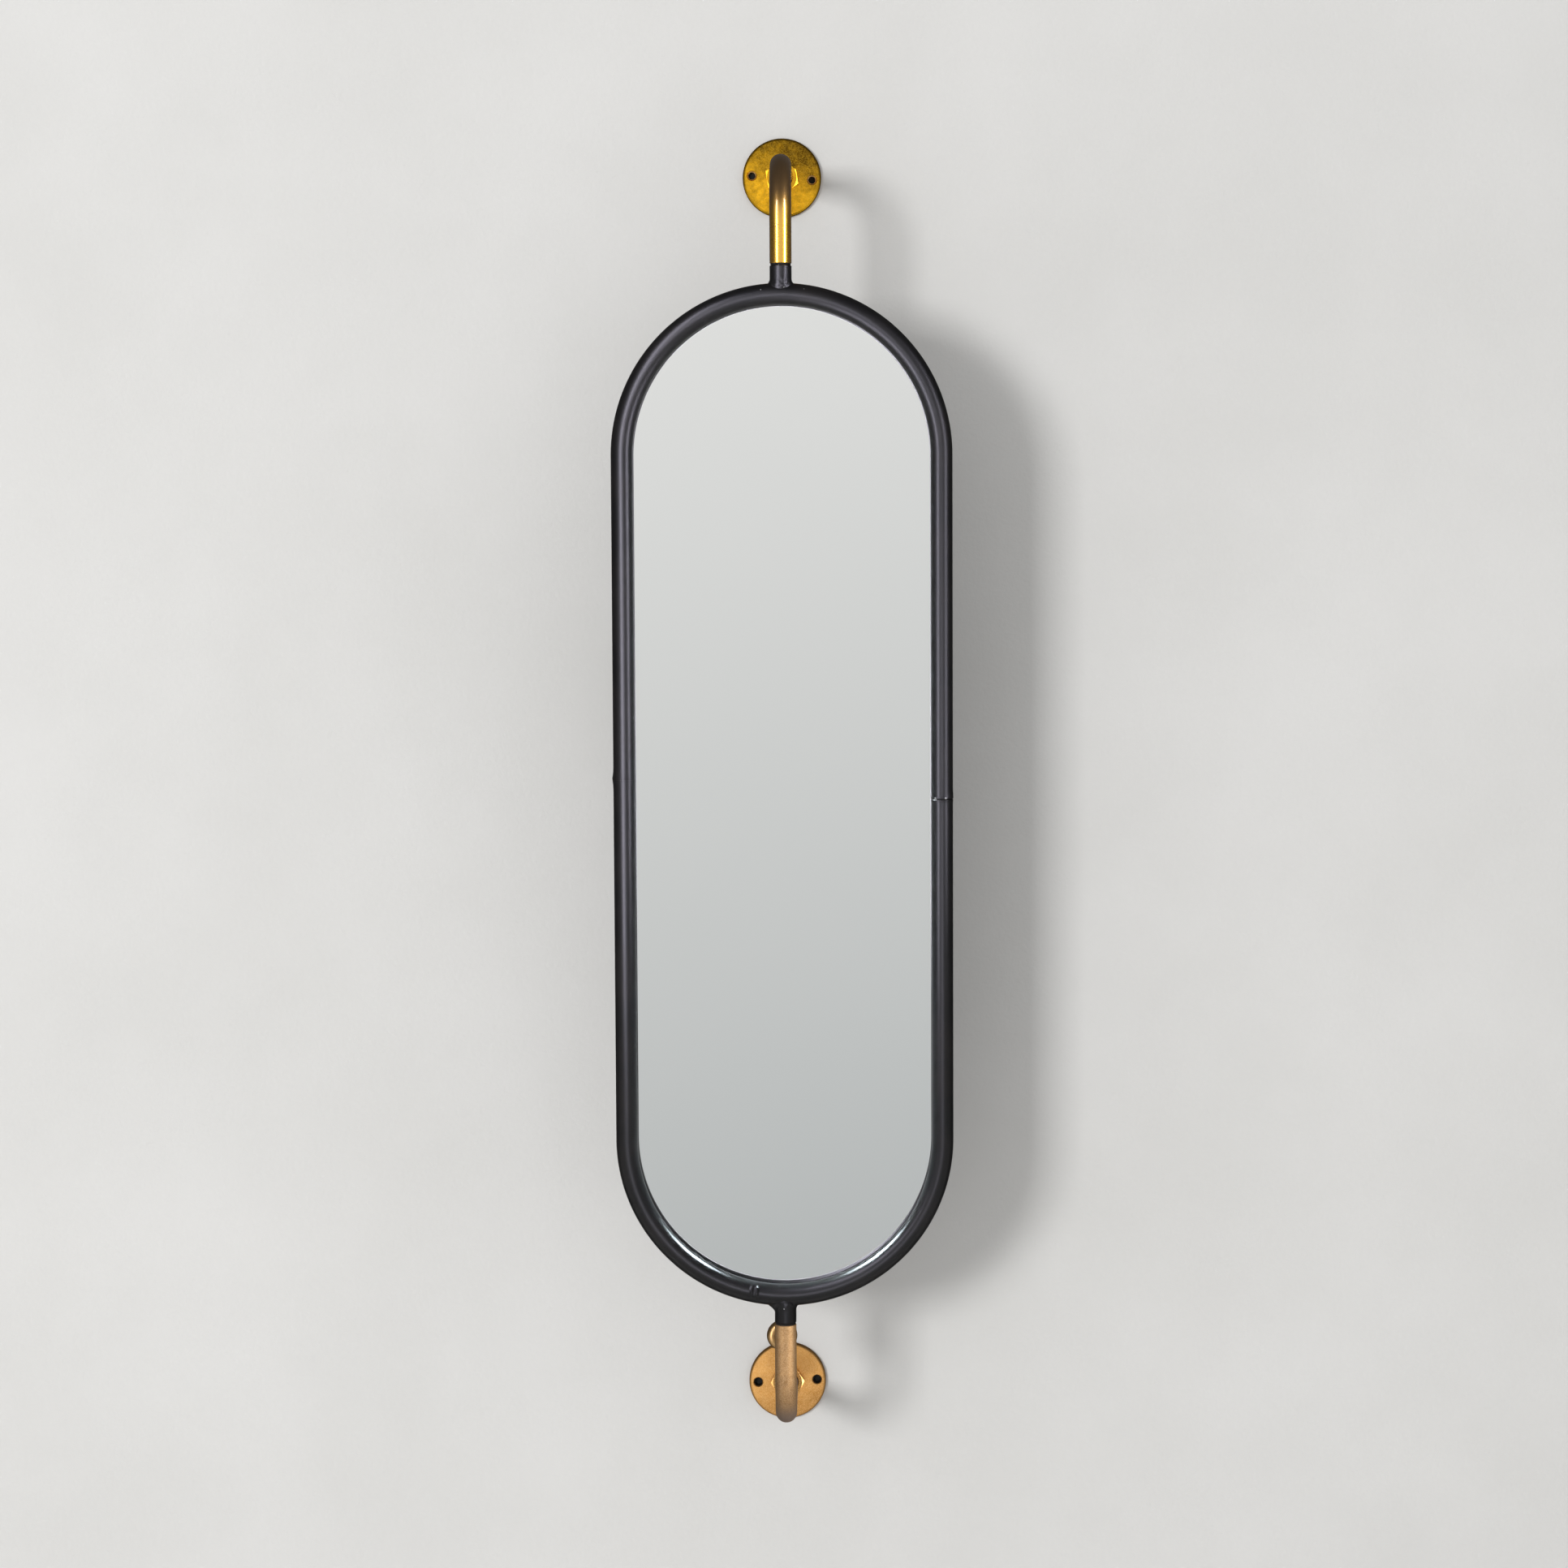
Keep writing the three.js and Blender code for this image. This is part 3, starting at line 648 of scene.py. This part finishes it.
settle("backTray", stadiumShell(traySection()), blackSheet, "mirror", ["back_tray"], 50)
print("glass and tray made")


# Back screws: pan heads with a cross recess

screws = {
    "seat": -125.8, "head": 3.5, "headHeight": 2.4, "cheek": 1.08, "shank": 1.75, "length": 9.5, "point": 2,
    "shoulder": (2.94, 1.968), "land": 2.0, "softCheek": 0.5, "softShoulder": 0.8, "facets": 36,
    "slotWidth": 0.42, "slotReach": 1.45, "slotDepth": 1.5, "slotTaper": 0.5,
    "sideHeights": (-189.375, -63.125, 63.125, 189.375), "bendAngles": (45, 135),
    "turn": 37,  # degrees from one screw's cross to the next one's
}


def screwShape():
    head, high = screws["head"], screws["headHeight"]
    bm = turned([(0, -screws["length"]), (screws["shank"], screws["point"] - screws["length"]),
                 (screws["shank"], 0), (head, 0), (head, screws["cheek"]), screws["shoulder"],
                 (screws["land"], high)], screws["facets"],
                soft=[(4, screws["softCheek"]), (5, screws["softShoulder"])], steps=3, closed=False)
    rim = [vert for vert in bm.verts if abs(vert.co.z - high) < 1e-3]
    wide, reach = screws["slotWidth"], screws["slotReach"]
    corners, arm = [], [(wide, wide), (wide, reach), (-wide, reach)]
    for quarter in range(4):
        corners += arm
        arm = [(-y, x) for x, y in arm]
    cross = [bm.verts.new((x, y, high)) for x, y in corners]
    outline = [bm.edges.new(pair) for pair in zip(cross, cross[1:] + cross[:1])]
    bmesh.ops.triangle_fill(bm, use_beauty=True, edges=ringEdges(rim) + outline)
    floor = pulled(bm, outline, shifted(z=-screws["slotDepth"]) @ widened(screws["slotTaper"]))
    bmesh.ops.contextual_create(bm, geom=floor)
    return bm


places = [(side * hoop["bendRadius"], height) for side in (-1, 1) for height in screws["sideHeights"]]
places += [(hoop["bendRadius"] * math.cos(math.radians(angle)),
            side * (hoop["straight"] + hoop["bendRadius"] * math.sin(math.radians(angle))))
           for side in (-1, 1) for angle in screws["bendAngles"]]
driven = [moved(screwShape(), spun(screws["turn"] * i, "Z"), towardsWall, shifted(x, screws["seat"], z))
          for i, (x, z) in enumerate(places)]
settle("backScrews", joined(driven), screwSteel, "mirror", [f"back_screw_{i:02d}" for i in range(1, 13)],
       40)
print("back screws made")


# Wall plates

plate = {
    "height": 466.5, "radius": 30, "thickness": 5, "edge": 2, "edgeSteps": 6, "bore": 8.3,
    "recess": 13.1, "recessDepth": 3, "hole": 2.75, "sink": 4, "holesAt": (-23, 23),
    "facets": {"rim": 96, "bore": 48, "hole": 32},
    "turn": {"upper": 4.2, "lower": -2.5},  # lean of the line of holes
}


def wallPlate(side):  # local up is away from the wall
    bm = bmesh.new()
    high, edge, facets = plate["thickness"], plate["edge"], plate["facets"]
    rim = circleAt(bm, plate["radius"] - edge, facets["rim"], shifted(z=high))
    bore = circleAt(bm, plate["bore"], facets["bore"], shifted(z=high))
    holes = [circleAt(bm, plate["sink"], facets["hole"], shifted(x, 0, high)) for x in plate["holesAt"]]
    bmesh.ops.triangle_fill(bm, use_beauty=True, edges=rim + bore + holes[0] + holes[1])
    for step in range(plate["edgeSteps"]):  # the rounded front edge
        angles = [math.pi / 2 * (step + i) / plate["edgeSteps"] for i in (0, 1)]
        radii = [plate["radius"] - edge + edge * math.sin(angle) for angle in angles]
        fall = edge * (math.cos(angles[0]) - math.cos(angles[1]))
        rim = pulled(bm, rim, shifted(z=-fall) @ widened(radii[1] / radii[0]))
    rim = pulled(bm, rim, shifted(z=edge - high))
    bore = pulled(bm, bore, shifted(z=plate["recessDepth"] - high))
    bore = pulled(bm, bore, widened(plate["recess"] / plate["bore"]))
    bore = pulled(bm, bore, shifted(z=-plate["recessDepth"]))
    feet = []
    sinkDepth = plate["sink"] - plate["hole"]  # the countersink is a right-angled cone
    for x, ring in zip(plate["holesAt"], holes):
        narrow = shifted(x) @ widened(plate["hole"] / plate["sink"]) @ shifted(-x)
        ring = pulled(bm, ring, shifted(z=-sinkDepth) @ narrow)
        feet += pulled(bm, ring, shifted(z=sinkDepth - high))
    bmesh.ops.triangle_fill(bm, use_beauty=True, edges=rim + bore + feet)
    return moved(bm, towardsRoom, spun(plate["turn"][side]), shifted(z=signs[side] * plate["height"]))


for side, brass in (("upper", "amberBrass"), ("lower", "satinBrass")):
    settle(f"{side}WallPlate", wallPlate(side), brasses[brass], "wall_fixings", [f"{side}_wall_plate"])
print("wall plates made")


# Hex nuts: a turned blank with chamfered ends, cut by six planes

nuts = {
    "front": {"flats": 23, "thickness": 5, "foot": -5.1, "turn": {"upper": 21, "lower": -3}},
    "back": {"flats": 21, "thickness": 2.6, "foot": -0.3, "turn": {"upper": 0, "lower": 0}},
    "bore": 8.3, "boreEdge": 0.4, "chamfer": 0.6, "faceShare": 0.985, "facets": 96,
}


def hexNut(nut):
    flat, high = nut["flats"] / 2, nut["thickness"]
    corner, face = nut["flats"] / math.sqrt(3), flat * nuts["faceShare"]
    chamfer, bore, edge = (corner - flat) * nuts["chamfer"], nuts["bore"], nuts["boreEdge"]
    bm = turned([(bore, edge), (bore + edge, 0), (face, 0), (corner, chamfer), (corner, high - chamfer),
                 (face, high), (bore + edge, high), (bore, high - edge)], nuts["facets"])
    for side in range(6):
        angle = math.radians(30 + 60 * side)
        normal = Vector((math.cos(angle), math.sin(angle), 0))
        made = bmesh.ops.bisect_plane(bm, geom=bm.verts[:] + bm.edges[:] + bm.faces[:], clear_outer=True,
                                      plane_co=normal * flat, plane_no=normal)["geom_cut"]
        bmesh.ops.contextual_create(bm, geom=[item for item in made if isinstance(item, bmesh.types.BMEdge)])
    return bm


for side, sign in signs.items():
    for kind in ("front", "back"):
        nut = nuts[kind]
        shape = moved(hexNut(nut), towardsRoom, spun(nut["turn"][side]),
                      shifted(y=nut["foot"], z=sign * plate["height"]))
        settle(f"{side}{kind.title()}Nut", shape, brasses[f"{side}NutBrass"], "wall_fixings",
               [f"{side}_{kind}_nut"], 25)
print("nuts made")


# Arms: bent tubes, threaded at the wall end

arms = {
    "bendRadius": 38, "root": -0.1, "endRound": 0.5,
    "bendSteps": {"outside": 44, "bore": 12},
    "runs": {"outside": [12, 12, 12.2, 0.35, 0.25, 0.2], "bore": [36.6, 0.4]},  # from the bend to the end
    "threadEnd": -12.6, "threadPitch": 1.0, "threadDepth": 0.28, "threadStep": 0.2, "threadFade": 1.2,
}
armEnd = plate["height"] - arms["bendRadius"] - sum(arms["runs"]["bore"])


def threadCut(turns, depth):  # how deep a thread is after that many turns along it
    return depth * (0.5 + 0.5 * math.cos(2 * math.pi * turns))


def armShape():
    bm = bmesh.new()
    tube, rounding, skin = shared["tube"], arms["endRound"], shared["skin"]
    bendStart = pivotY + arms["bendRadius"]
    ends = []
    for layer, radius in (("outside", tube), ("bore", shared["armBore"])):
        y = arms["root"]
        ring = circleAt(bm, radius, shared["round"], shifted(0, y, plate["height"]) @ towardsRoom)
        ends.append(ring)
        while layer == "outside" and y > arms["threadEnd"]:
            ring = pulled(bm, ring, shifted(y=-arms["threadStep"]))
            y -= arms["threadStep"]
        ring = pulled(bm, ring, shifted(y=bendStart - y))
        centre = (0, bendStart, plate["height"] - arms["bendRadius"])
        ring = swung(bm, ring, centre, (1, 0, 0), math.pi / 2, arms["bendSteps"][layer])
        for run in arms["runs"][layer]:
            ring = pulled(bm, ring, shifted(z=-run))
        ends.append(ring)
    tubeClosed(bm, ends)
    for vert in bm.verts:
        if vert.co.y > arms["threadEnd"] - 0.01:  # the thread
            out = Vector((vert.co.x, 0, vert.co.z - plate["height"]))
            if out.length > tube - skin:
                turns = vert.co.y / arms["threadPitch"] + math.atan2(out.z, out.x) / (2 * math.pi)
                fade = min(1, (vert.co.y - arms["threadEnd"]) / arms["threadFade"])
                out = out.normalized() * (tube - threadCut(turns, arms["threadDepth"]) * fade)
                vert.co = Vector((out.x, vert.co.y, out.z + plate["height"]))
        elif vert.co.z < armEnd + rounding:  # the rounded lower end
            out = Vector((vert.co.x, vert.co.y - pivotY, 0))
            if out.length > tube - skin:
                dip = rounding - (vert.co.z - armEnd)
                out = out.normalized() * (tube - rounding + math.sqrt(max(0, rounding ** 2 - dip ** 2)))
                vert.co = Vector((out.x, out.y + pivotY, vert.co.z))
    return bm


for side, brass in (("upper", "goldBrass"), ("lower", "wornBrass")):
    settle(f"{side}Arm", moved(armShape(), halves[side]), brasses[brass], "wall_fixings", [f"{side}_arm"],
           50)
print("arms made")


# Collars between the arms and the stubs

collar = {
    "radius": 7.5, "bore": 5.2, "barrel": 6.4, "thickness": 1, "seat": 0.1, "length": 8,
    "soft": 0.25, "facets": 48,
}


def collarShape():  # local height 0 is the arm's end
    bore, radius, barrel = collar["bore"], collar["radius"], collar["barrel"]
    foot, seat, top = -collar["seat"] - collar["thickness"], -collar["seat"], collar["length"]
    return turned([(bore, foot), (radius, foot), (radius, seat), (barrel, seat), (barrel, top), (bore, top)],
                  collar["facets"], soft=[(1, collar["soft"]), (2, collar["soft"])], steps=2)


for side, place in halves.items():
    shape = moved(collarShape(), shifted(0, pivotY, armEnd), place)
    settle(f"{side}Collar", shape, blackNylon, "wall_fixings", [f"{side}_collar_bush"])


# Lock: boss, screw and knob on the lower arm

lock = {
    "height": -404.9, "turn": 8,  # degrees towards the left, seen from the front
    "bossRadius": 6, "bossEnd": 13, "bossEdge": 0.8, "hole": 3.3, "holeEdge": 0.3, "bossFacets": 64,
    "bossMarks": (5, 6.5),  # heights that mark the foot's ring and the one above it
    "brazeLift": 0.9, "brazeSink": 0.1, "brazeSpread": 1.10, "brazeGap": 0.05,
    "padEnd": 7.2, "screwRadius": 3, "screwPoint": 0.6, "pitch": 1.0, "threadDepth": 0.3, "threadStep": 0.125,
    "screwFacets": 40, "knobRadius": 11.5, "knobStart": 16.4, "knobThickness": 8, "knobCrown": 2.8,
    "knobDome": 4.6, "knobSocket": 4.8, "socketGap": 0.1, "socketEdge": 0.3, "knobFacets": 96,
}
lockPlace = shifted(0, pivotY, lock["height"]) @ spun(lock["turn"], "Z") @ towardsWall


def bossShape():
    hole, radius, end = lock["hole"], lock["bossRadius"], lock["bossEnd"]
    foot, ring = lock["bossMarks"]
    tube, sink = shared["tube"] + lock["brazeGap"], lock["brazeSink"]
    bm = turned([(hole, foot), (radius, foot), (radius, ring), (radius, end), (hole, end)],
                lock["bossFacets"], soft=[(3, lock["bossEdge"]), (4, lock["holeEdge"])], steps=3)
    for vert in bm.verts:  # the foot follows the arm's round, with a thin braze fillet
        if vert.co.z > ring + sink:
            continue
        atFoot = vert.co.z < (foot + ring) / 2
        if atFoot and math.hypot(vert.co.x, vert.co.y) > radius - shared["skin"]:
            vert.co.xy *= lock["brazeSpread"]
        vert.co.z = math.sqrt(tube ** 2 - vert.co.x ** 2) + (-sink if atFoot else lock["brazeLift"])
    return bm


def screwRod():
    start, stop = lock["padEnd"], lock["knobStart"] + lock["knobSocket"]
    radius, point = lock["screwRadius"], lock["screwPoint"]
    count = int((stop - start - 2 * point) / lock["threadStep"])
    shaft = [(radius, start + point + lock["threadStep"] * i) for i in range(count)]
    bm = turned([(0, start), (radius - point, start), *shaft, (radius - point, stop), (0, stop)],
                lock["screwFacets"], closed=False)
    for vert in bm.verts:
        out = Vector((vert.co.x, vert.co.y, 0))
        if out.length > radius - shared["skin"]:
            turns = vert.co.z / lock["pitch"] - math.atan2(out.y, out.x) / (2 * math.pi)
            vert.co.xy = (out.normalized() * (radius - threadCut(turns, lock["threadDepth"]))).xy
    return bm


def knobShape():  # domed towards the arm, softly rounded towards the wall
    radius, start, end = lock["knobRadius"], lock["knobStart"], lock["knobStart"] + lock["knobThickness"]
    socket, depth = lock["screwRadius"] + lock["socketGap"], start + lock["knobSocket"]
    return turned([(socket, start), (radius, start), (radius, end), (0, end), (0, depth), (socket, depth)],
                  lock["knobFacets"], steps=10,
                  soft=[(0, lock["socketEdge"]), (1, lock["knobDome"]), (2, lock["knobCrown"])])


settle("lockBoss", moved(bossShape(), lockPlace), brasses["wornBrass"], "wall_fixings", ["lock_boss"])
settle("lockScrew", moved(screwRod(), lockPlace), screwSteel, "lock_handle", ["lock_screw"], 60)
settle("lockKnob", moved(knobShape(), lockPlace), brasses["bronzeBrass"], "lock_handle", ["lock_knob"])
print("lock made")


# What stays as it is in the frame gets its finish

kept = {
    screwSteel: ["upper_pivot_pin", "lower_pivot_pin", "left_joint_sleeve", "right_joint_sleeve"],
    blackNylon: ["upper_inner_bush", "lower_inner_bush", "lock_pad"],
    greyFoam: ["left_foam_strip", "right_foam_strip"],
}
for finish, names in kept.items():
    for name in names:
        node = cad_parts[name]
        if not node.material_slots:
            node.data.materials.append(finish)
        node.material_slots[0].material = finish
print("kept nodes finished")


# Wall, floor and the pale card that the glass shows

stage = {  # in metres
    "wall": (0.665, 0.66, 0.648), "wallSize": (7.0, 4.2), "wallFront": -0.0006,
    "inGloss": 0.1,  # share of the wall's tone that reflections see
    "floor": (0.88, 0.875, 0.865), "floorSize": (14.0, 14.0), "floorHeight": -1.35,
    "hole": 0.0027, "holeFront": -0.0009, "holeFacets": 32,
}


def stageMaterial(name, build):
    material = bpy.data.materials.new(name)
    material.use_nodes = True
    tree = material.node_tree
    tree.nodes.remove(tree.nodes["Principled BSDF"])
    where = Field(tree).node("ShaderNodeTexCoord", output=3)
    tree.links.new(build(where).socket, tree.nodes["Material Output"].inputs["Surface"])
    return material


def scaled(colour, red, green=None, blue=None):  # a colour times one factor or three
    factors = (red, red if green is None else green, red if blue is None else blue)
    return tuple(channel * factor for channel, factor in zip(colour, factors))


def wallSurface(where):  # seen and lit from the room only, and casts no shadow backwards
    soft = where.grain(0.25, 4, 0.6).between(0.25, 0.75)
    fine = where.grain(0.004, 3, 0.65)
    colour = soft.tint(scaled(stage["wall"], 0.97, 0.97, 0.965), scaled(stage["wall"], 1.03))
    glossy = where.node("ShaderNodeLightPath", output=3)
    colour = glossy.tint(colour, scaled(stage["wall"], stage["inGloss"]))
    plaster = where.node("ShaderNodeBsdfDiffuse", {}, {"Color": colour, "Normal": fine.bump(0.0012, 0.25)})
    behind = where.node("ShaderNodeNewGeometry", output=6)
    shadow = where.node("ShaderNodeLightPath", output=1)
    hidden = behind.sum("MAXIMUM", behind, shadow)
    clear = where.node("ShaderNodeBsdfTransparent")
    return hidden.node("ShaderNodeMixShader", {}, {0: hidden, 1: plaster, 2: clear})


def floorSurface(where):
    colour = where.grain(0.4, 3, 0.5).tint(scaled(stage["floor"], 0.98), scaled(stage["floor"], 1.02))
    return where.node("ShaderNodeBsdfDiffuse", {}, {"Color": colour})


# painted shade: near-black discs at the back of the screw holes stand for the shade inside the holes
def holeShadeSurface(where):
    dust = where.grain(0.001).tint((0.018, 0.018, 0.017), (0.03, 0.03, 0.028))
    return where.node("ShaderNodeBsdfDiffuse", {}, {"Color": dust})


card = {  # the diagonal fade that the mirror shows, lightest top left
    "distance": -3.6, "width": 2.6, "low": -2.2, "high": 1.5, "slant": 0.28, "from": -0.62, "to": 1.22,
    "light": (0.8, 0.8, 0.788), "dark": (0.482275, 0.502475, 0.505),
}


def cardSurface(where):
    down = where.part("X") * card["slant"] - where.part("Z")
    limits = {"Value": down, "From Min": card["from"], "From Max": card["to"]}
    tone = down.node("ShaderNodeMapRange", {}, limits).tint(card["light"], card["dark"])
    return where.node("ShaderNodeEmission", {}, {"Color": tone})


def stagePiece(name, bm, matrix, material):
    mesh = bpy.data.meshes.new(name)
    moved(bm, matrix).to_mesh(mesh)
    bm.free()
    mesh.materials.append(material)
    piece = bpy.data.objects.new(name, mesh)
    bpy.context.collection.objects.link(piece)
    return piece


def sheetOf(width, depth):
    bm = bmesh.new()
    bmesh.ops.create_grid(bm, x_segments=1, y_segments=1, size=0.5)
    return moved(bm, Matrix.Diagonal((width, depth, 1, 1)))


wallMiddle = stage["floorHeight"] + stage["wallSize"][1] / 2
stagePiece("wall", sheetOf(*stage["wallSize"]), shifted(0, stage["wallFront"], wallMiddle) @ towardsRoom,
           stageMaterial("plaster", wallSurface))
floorPlane = stagePiece("floor", sheetOf(*stage["floorSize"]), shifted(0, 0, stage["floorHeight"]),
                        stageMaterial("floorPaint", floorSurface))
cardPlane = stagePiece("paleCard", sheetOf(card["width"], card["high"] - card["low"]),
                       shifted(0, card["distance"], (card["low"] + card["high"]) / 2) @ towardsWall,
                       stageMaterial("cardFade", cardSurface))
for rays in ("camera", "diffuse", "transmission", "shadow", "volume_scatter"):
    setattr(cardPlane, f"visible_{rays}", False)

# dark discs of painted shade in the plates' screw holes
holeShadeMaterial = stageMaterial("holeShadeDisc", holeShadeSurface)
for side, sign in signs.items():
    lean = shifted(z=sign * plate["height"]) @ spun(plate["turn"][side])
    for end, across in zip(("Left", "Right"), plate["holesAt"]):
        disc = bmesh.new()
        bmesh.ops.create_circle(disc, cap_ends=True, segments=stage["holeFacets"], radius=stage["hole"])
        middle = lean @ Vector((across, 0, 0)) * millimetre
        stagePiece(f"holeShadeDisc{side.title()}{end}", disc,
                   shifted(middle.x, stage["holeFront"], middle.z) @ towardsRoom, holeShadeMaterial)
print("stage made")


# Lamps and world

white, lilac, sky = (1, 1, 1), (0.87, 0.84, 1), (0.8, 0.93, 1)
lamps = {  # place, aim, width, height, watts, colour and what it lights
    "keyLight": ((-3.4, -5.8, 0.99), (0, 0, 0), 1.5, 1.5, 236, white, "all"),
    "backFill": ((0.9, 2.2, 0.9), (0, 0, 0), 1.6, 1.6, 60, white, "back"),
    "leftBox": ((-1.05, -1.50, 0.05), (0, -0.135, 0.05), 0.34, 2.3, 26, white, "brass"),
    "rightBox": ((1.28, -1.32, 0.05), (0, -0.135, 0.05), 0.34, 2.3, 46, white, "brass"),
    "upperPlateBox": ((-0.35, -3.0, 0.75), (0, 0, 0.4665), 1.2, 1.2, 1.7, white, "amber"),
    "lowerPlateBox": ((-0.25, -3.0, -0.9), (0, 0, -0.4665), 1.2, 0.8, 17.5, white, "satin"),
    "leftStrip": ((-0.185, -0.471, 0.215), (-0.02, -0.135, 0.215), 0.09, 0.77, 4.8, lilac, "paint"),
    "rightStrip": ((0.353, -0.406, 0.26), (-0.117, -0.135, 0.26), 0.09, 0.68, 0.64, lilac, "paint"),
    "frontBox": ((0, -3.5, -0.25), (0, -0.135, 0), 1.2, 0.45, 27, lilac, "paint"),
    "leftTop": ((-1.28, -0.62, 1.03), (0.08, -0.135, -0.33), 0.7, 0.7, 18, sky, "glass"),
    "rightTop": ((1.28, -0.62, 1.03), (-0.08, -0.135, -0.33), 0.7, 0.7, 13, sky, "glass"),
    "leftGlint": ((-1.25, -0.75, 0), (0, 0, 0), 0.35, 2.6, 8, white, "nuts"),
    "rightGlint": ((1.25, -0.75, 0), (0, 0, 0), 0.35, 2.6, 22, white, "nuts"),
}
lampSpread = {"leftTop": 24, "rightTop": 24, "rightStrip": 60}  # degrees, where a lamp's beam is narrow
litFinishes = {  # soft boxes that only give pieces with these finishes their highlights
    "back": ("blackSheet", "screwSteel"),
    "brass": ("goldBrass", "wornBrass", "bronzeBrass"),
    "amber": ("amberBrass",),
    "satin": ("satinBrass",),
    "paint": ("blackPaint",),
    "glass": ("silveredGlass",),  # shows in the ring only by way of the glass
    "nuts": ("upperNutBrass", "lowerNutBrass"),
}
for name, (place, aim, width, height, watts, colour, kind) in lamps.items():
    light = bpy.data.lights.new(name, "AREA")
    light.shape, light.size, light.size_y, light.energy = "RECTANGLE", width, height, watts
    light.color = colour
    if name in lampSpread:
        light.spread = math.radians(lampSpread[name])
    lamp = bpy.data.objects.new(name, light)
    lamp.location = place
    lamp.rotation_euler = (Vector(aim) - Vector(place)).to_track_quat("-Z", "Y").to_euler()
    lamp.visible_camera = False
    lamp.visible_glossy = kind != "all"
    lamp.visible_diffuse = kind in ("all", "back")
    group = bpy.data.collections.new(name)
    if kind == "all":  # all but the floor, which it would light too brightly
        group.objects.link(floorPlane)
        group.collection_objects[0].light_linking.link_state = "EXCLUDE"
    else:
        for piece in (piece for finish in litFinishes[kind] for piece in lit[finish]):
            group.objects.link(piece)
    lamp.light_linking.receiver_collection = group
    bpy.context.collection.objects.link(lamp)

room = {  # tones of the world for the camera, for soft light and for reflections
    "seen": (0.8, 0.8, 0.79), "soft": 0.7,
    "front": 0.45, "side": 0.06, "behind": 0.55, "above": 0.09, "below": 0.12,
}
world = bpy.data.worlds.new("studio")
world.use_nodes = True
bpy.context.scene.world = world
tree = world.node_tree
looking = Field(tree).node("ShaderNodeTexCoord", output=0)
cameraRay, glossyRay = (Field(tree).node("ShaderNodeLightPath", output=index) for index in (0, 3))
gloss = looking.part("Y").between(-0.85, -0.15).tint((room["front"],) * 3, (room["side"],) * 3)
gloss = looking.part("Z").between(-0.75, -0.2).tint((room["below"],) * 3, gloss)
gloss = looking.part("Z").between(0.15, 0.55).tint(gloss, (room["above"],) * 3)
gloss = looking.part("Y").between(0.05, 0.45).tint(gloss, (room["behind"],) * 3)
tone = glossyRay.tint((room["soft"],) * 3, gloss)
tone = cameraRay.tint(tone, room["seen"])
tree.links.new(tone.socket, tree.nodes["Background"].inputs["Color"])


# Camera and view

view = {  # fitted to the photo, in metres, degrees and millimetres
    "place": (0.026, -2.6798, 0.1945), "down": 4.114, "left": 0.57, "roll": -0.279,
    "lens": 79.574, "sensor": 36,
}
down, yaw, roll = (math.radians(view[key]) for key in ("down", "left", "roll"))
ahead = Vector((-math.sin(yaw) * math.cos(down), math.cos(yaw) * math.cos(down), -math.sin(down)))
level = Vector((math.cos(yaw), math.sin(yaw), 0))
up = level.cross(ahead)
rolledRight = level * math.cos(roll) + up * math.sin(roll)
rolledUp = up * math.cos(roll) - level * math.sin(roll)
camera = bpy.data.objects.new("camera", bpy.data.cameras.new("camera"))
camera.data.lens, camera.data.sensor_width = view["lens"], view["sensor"]
turning = Matrix((rolledRight, rolledUp, -ahead)).transposed()
camera.matrix_world = Matrix.Translation(view["place"]) @ turning.to_4x4()
bpy.context.collection.objects.link(camera)
bpy.context.scene.camera = camera
bpy.context.scene.view_settings.view_transform = "Standard"
print("camera set")
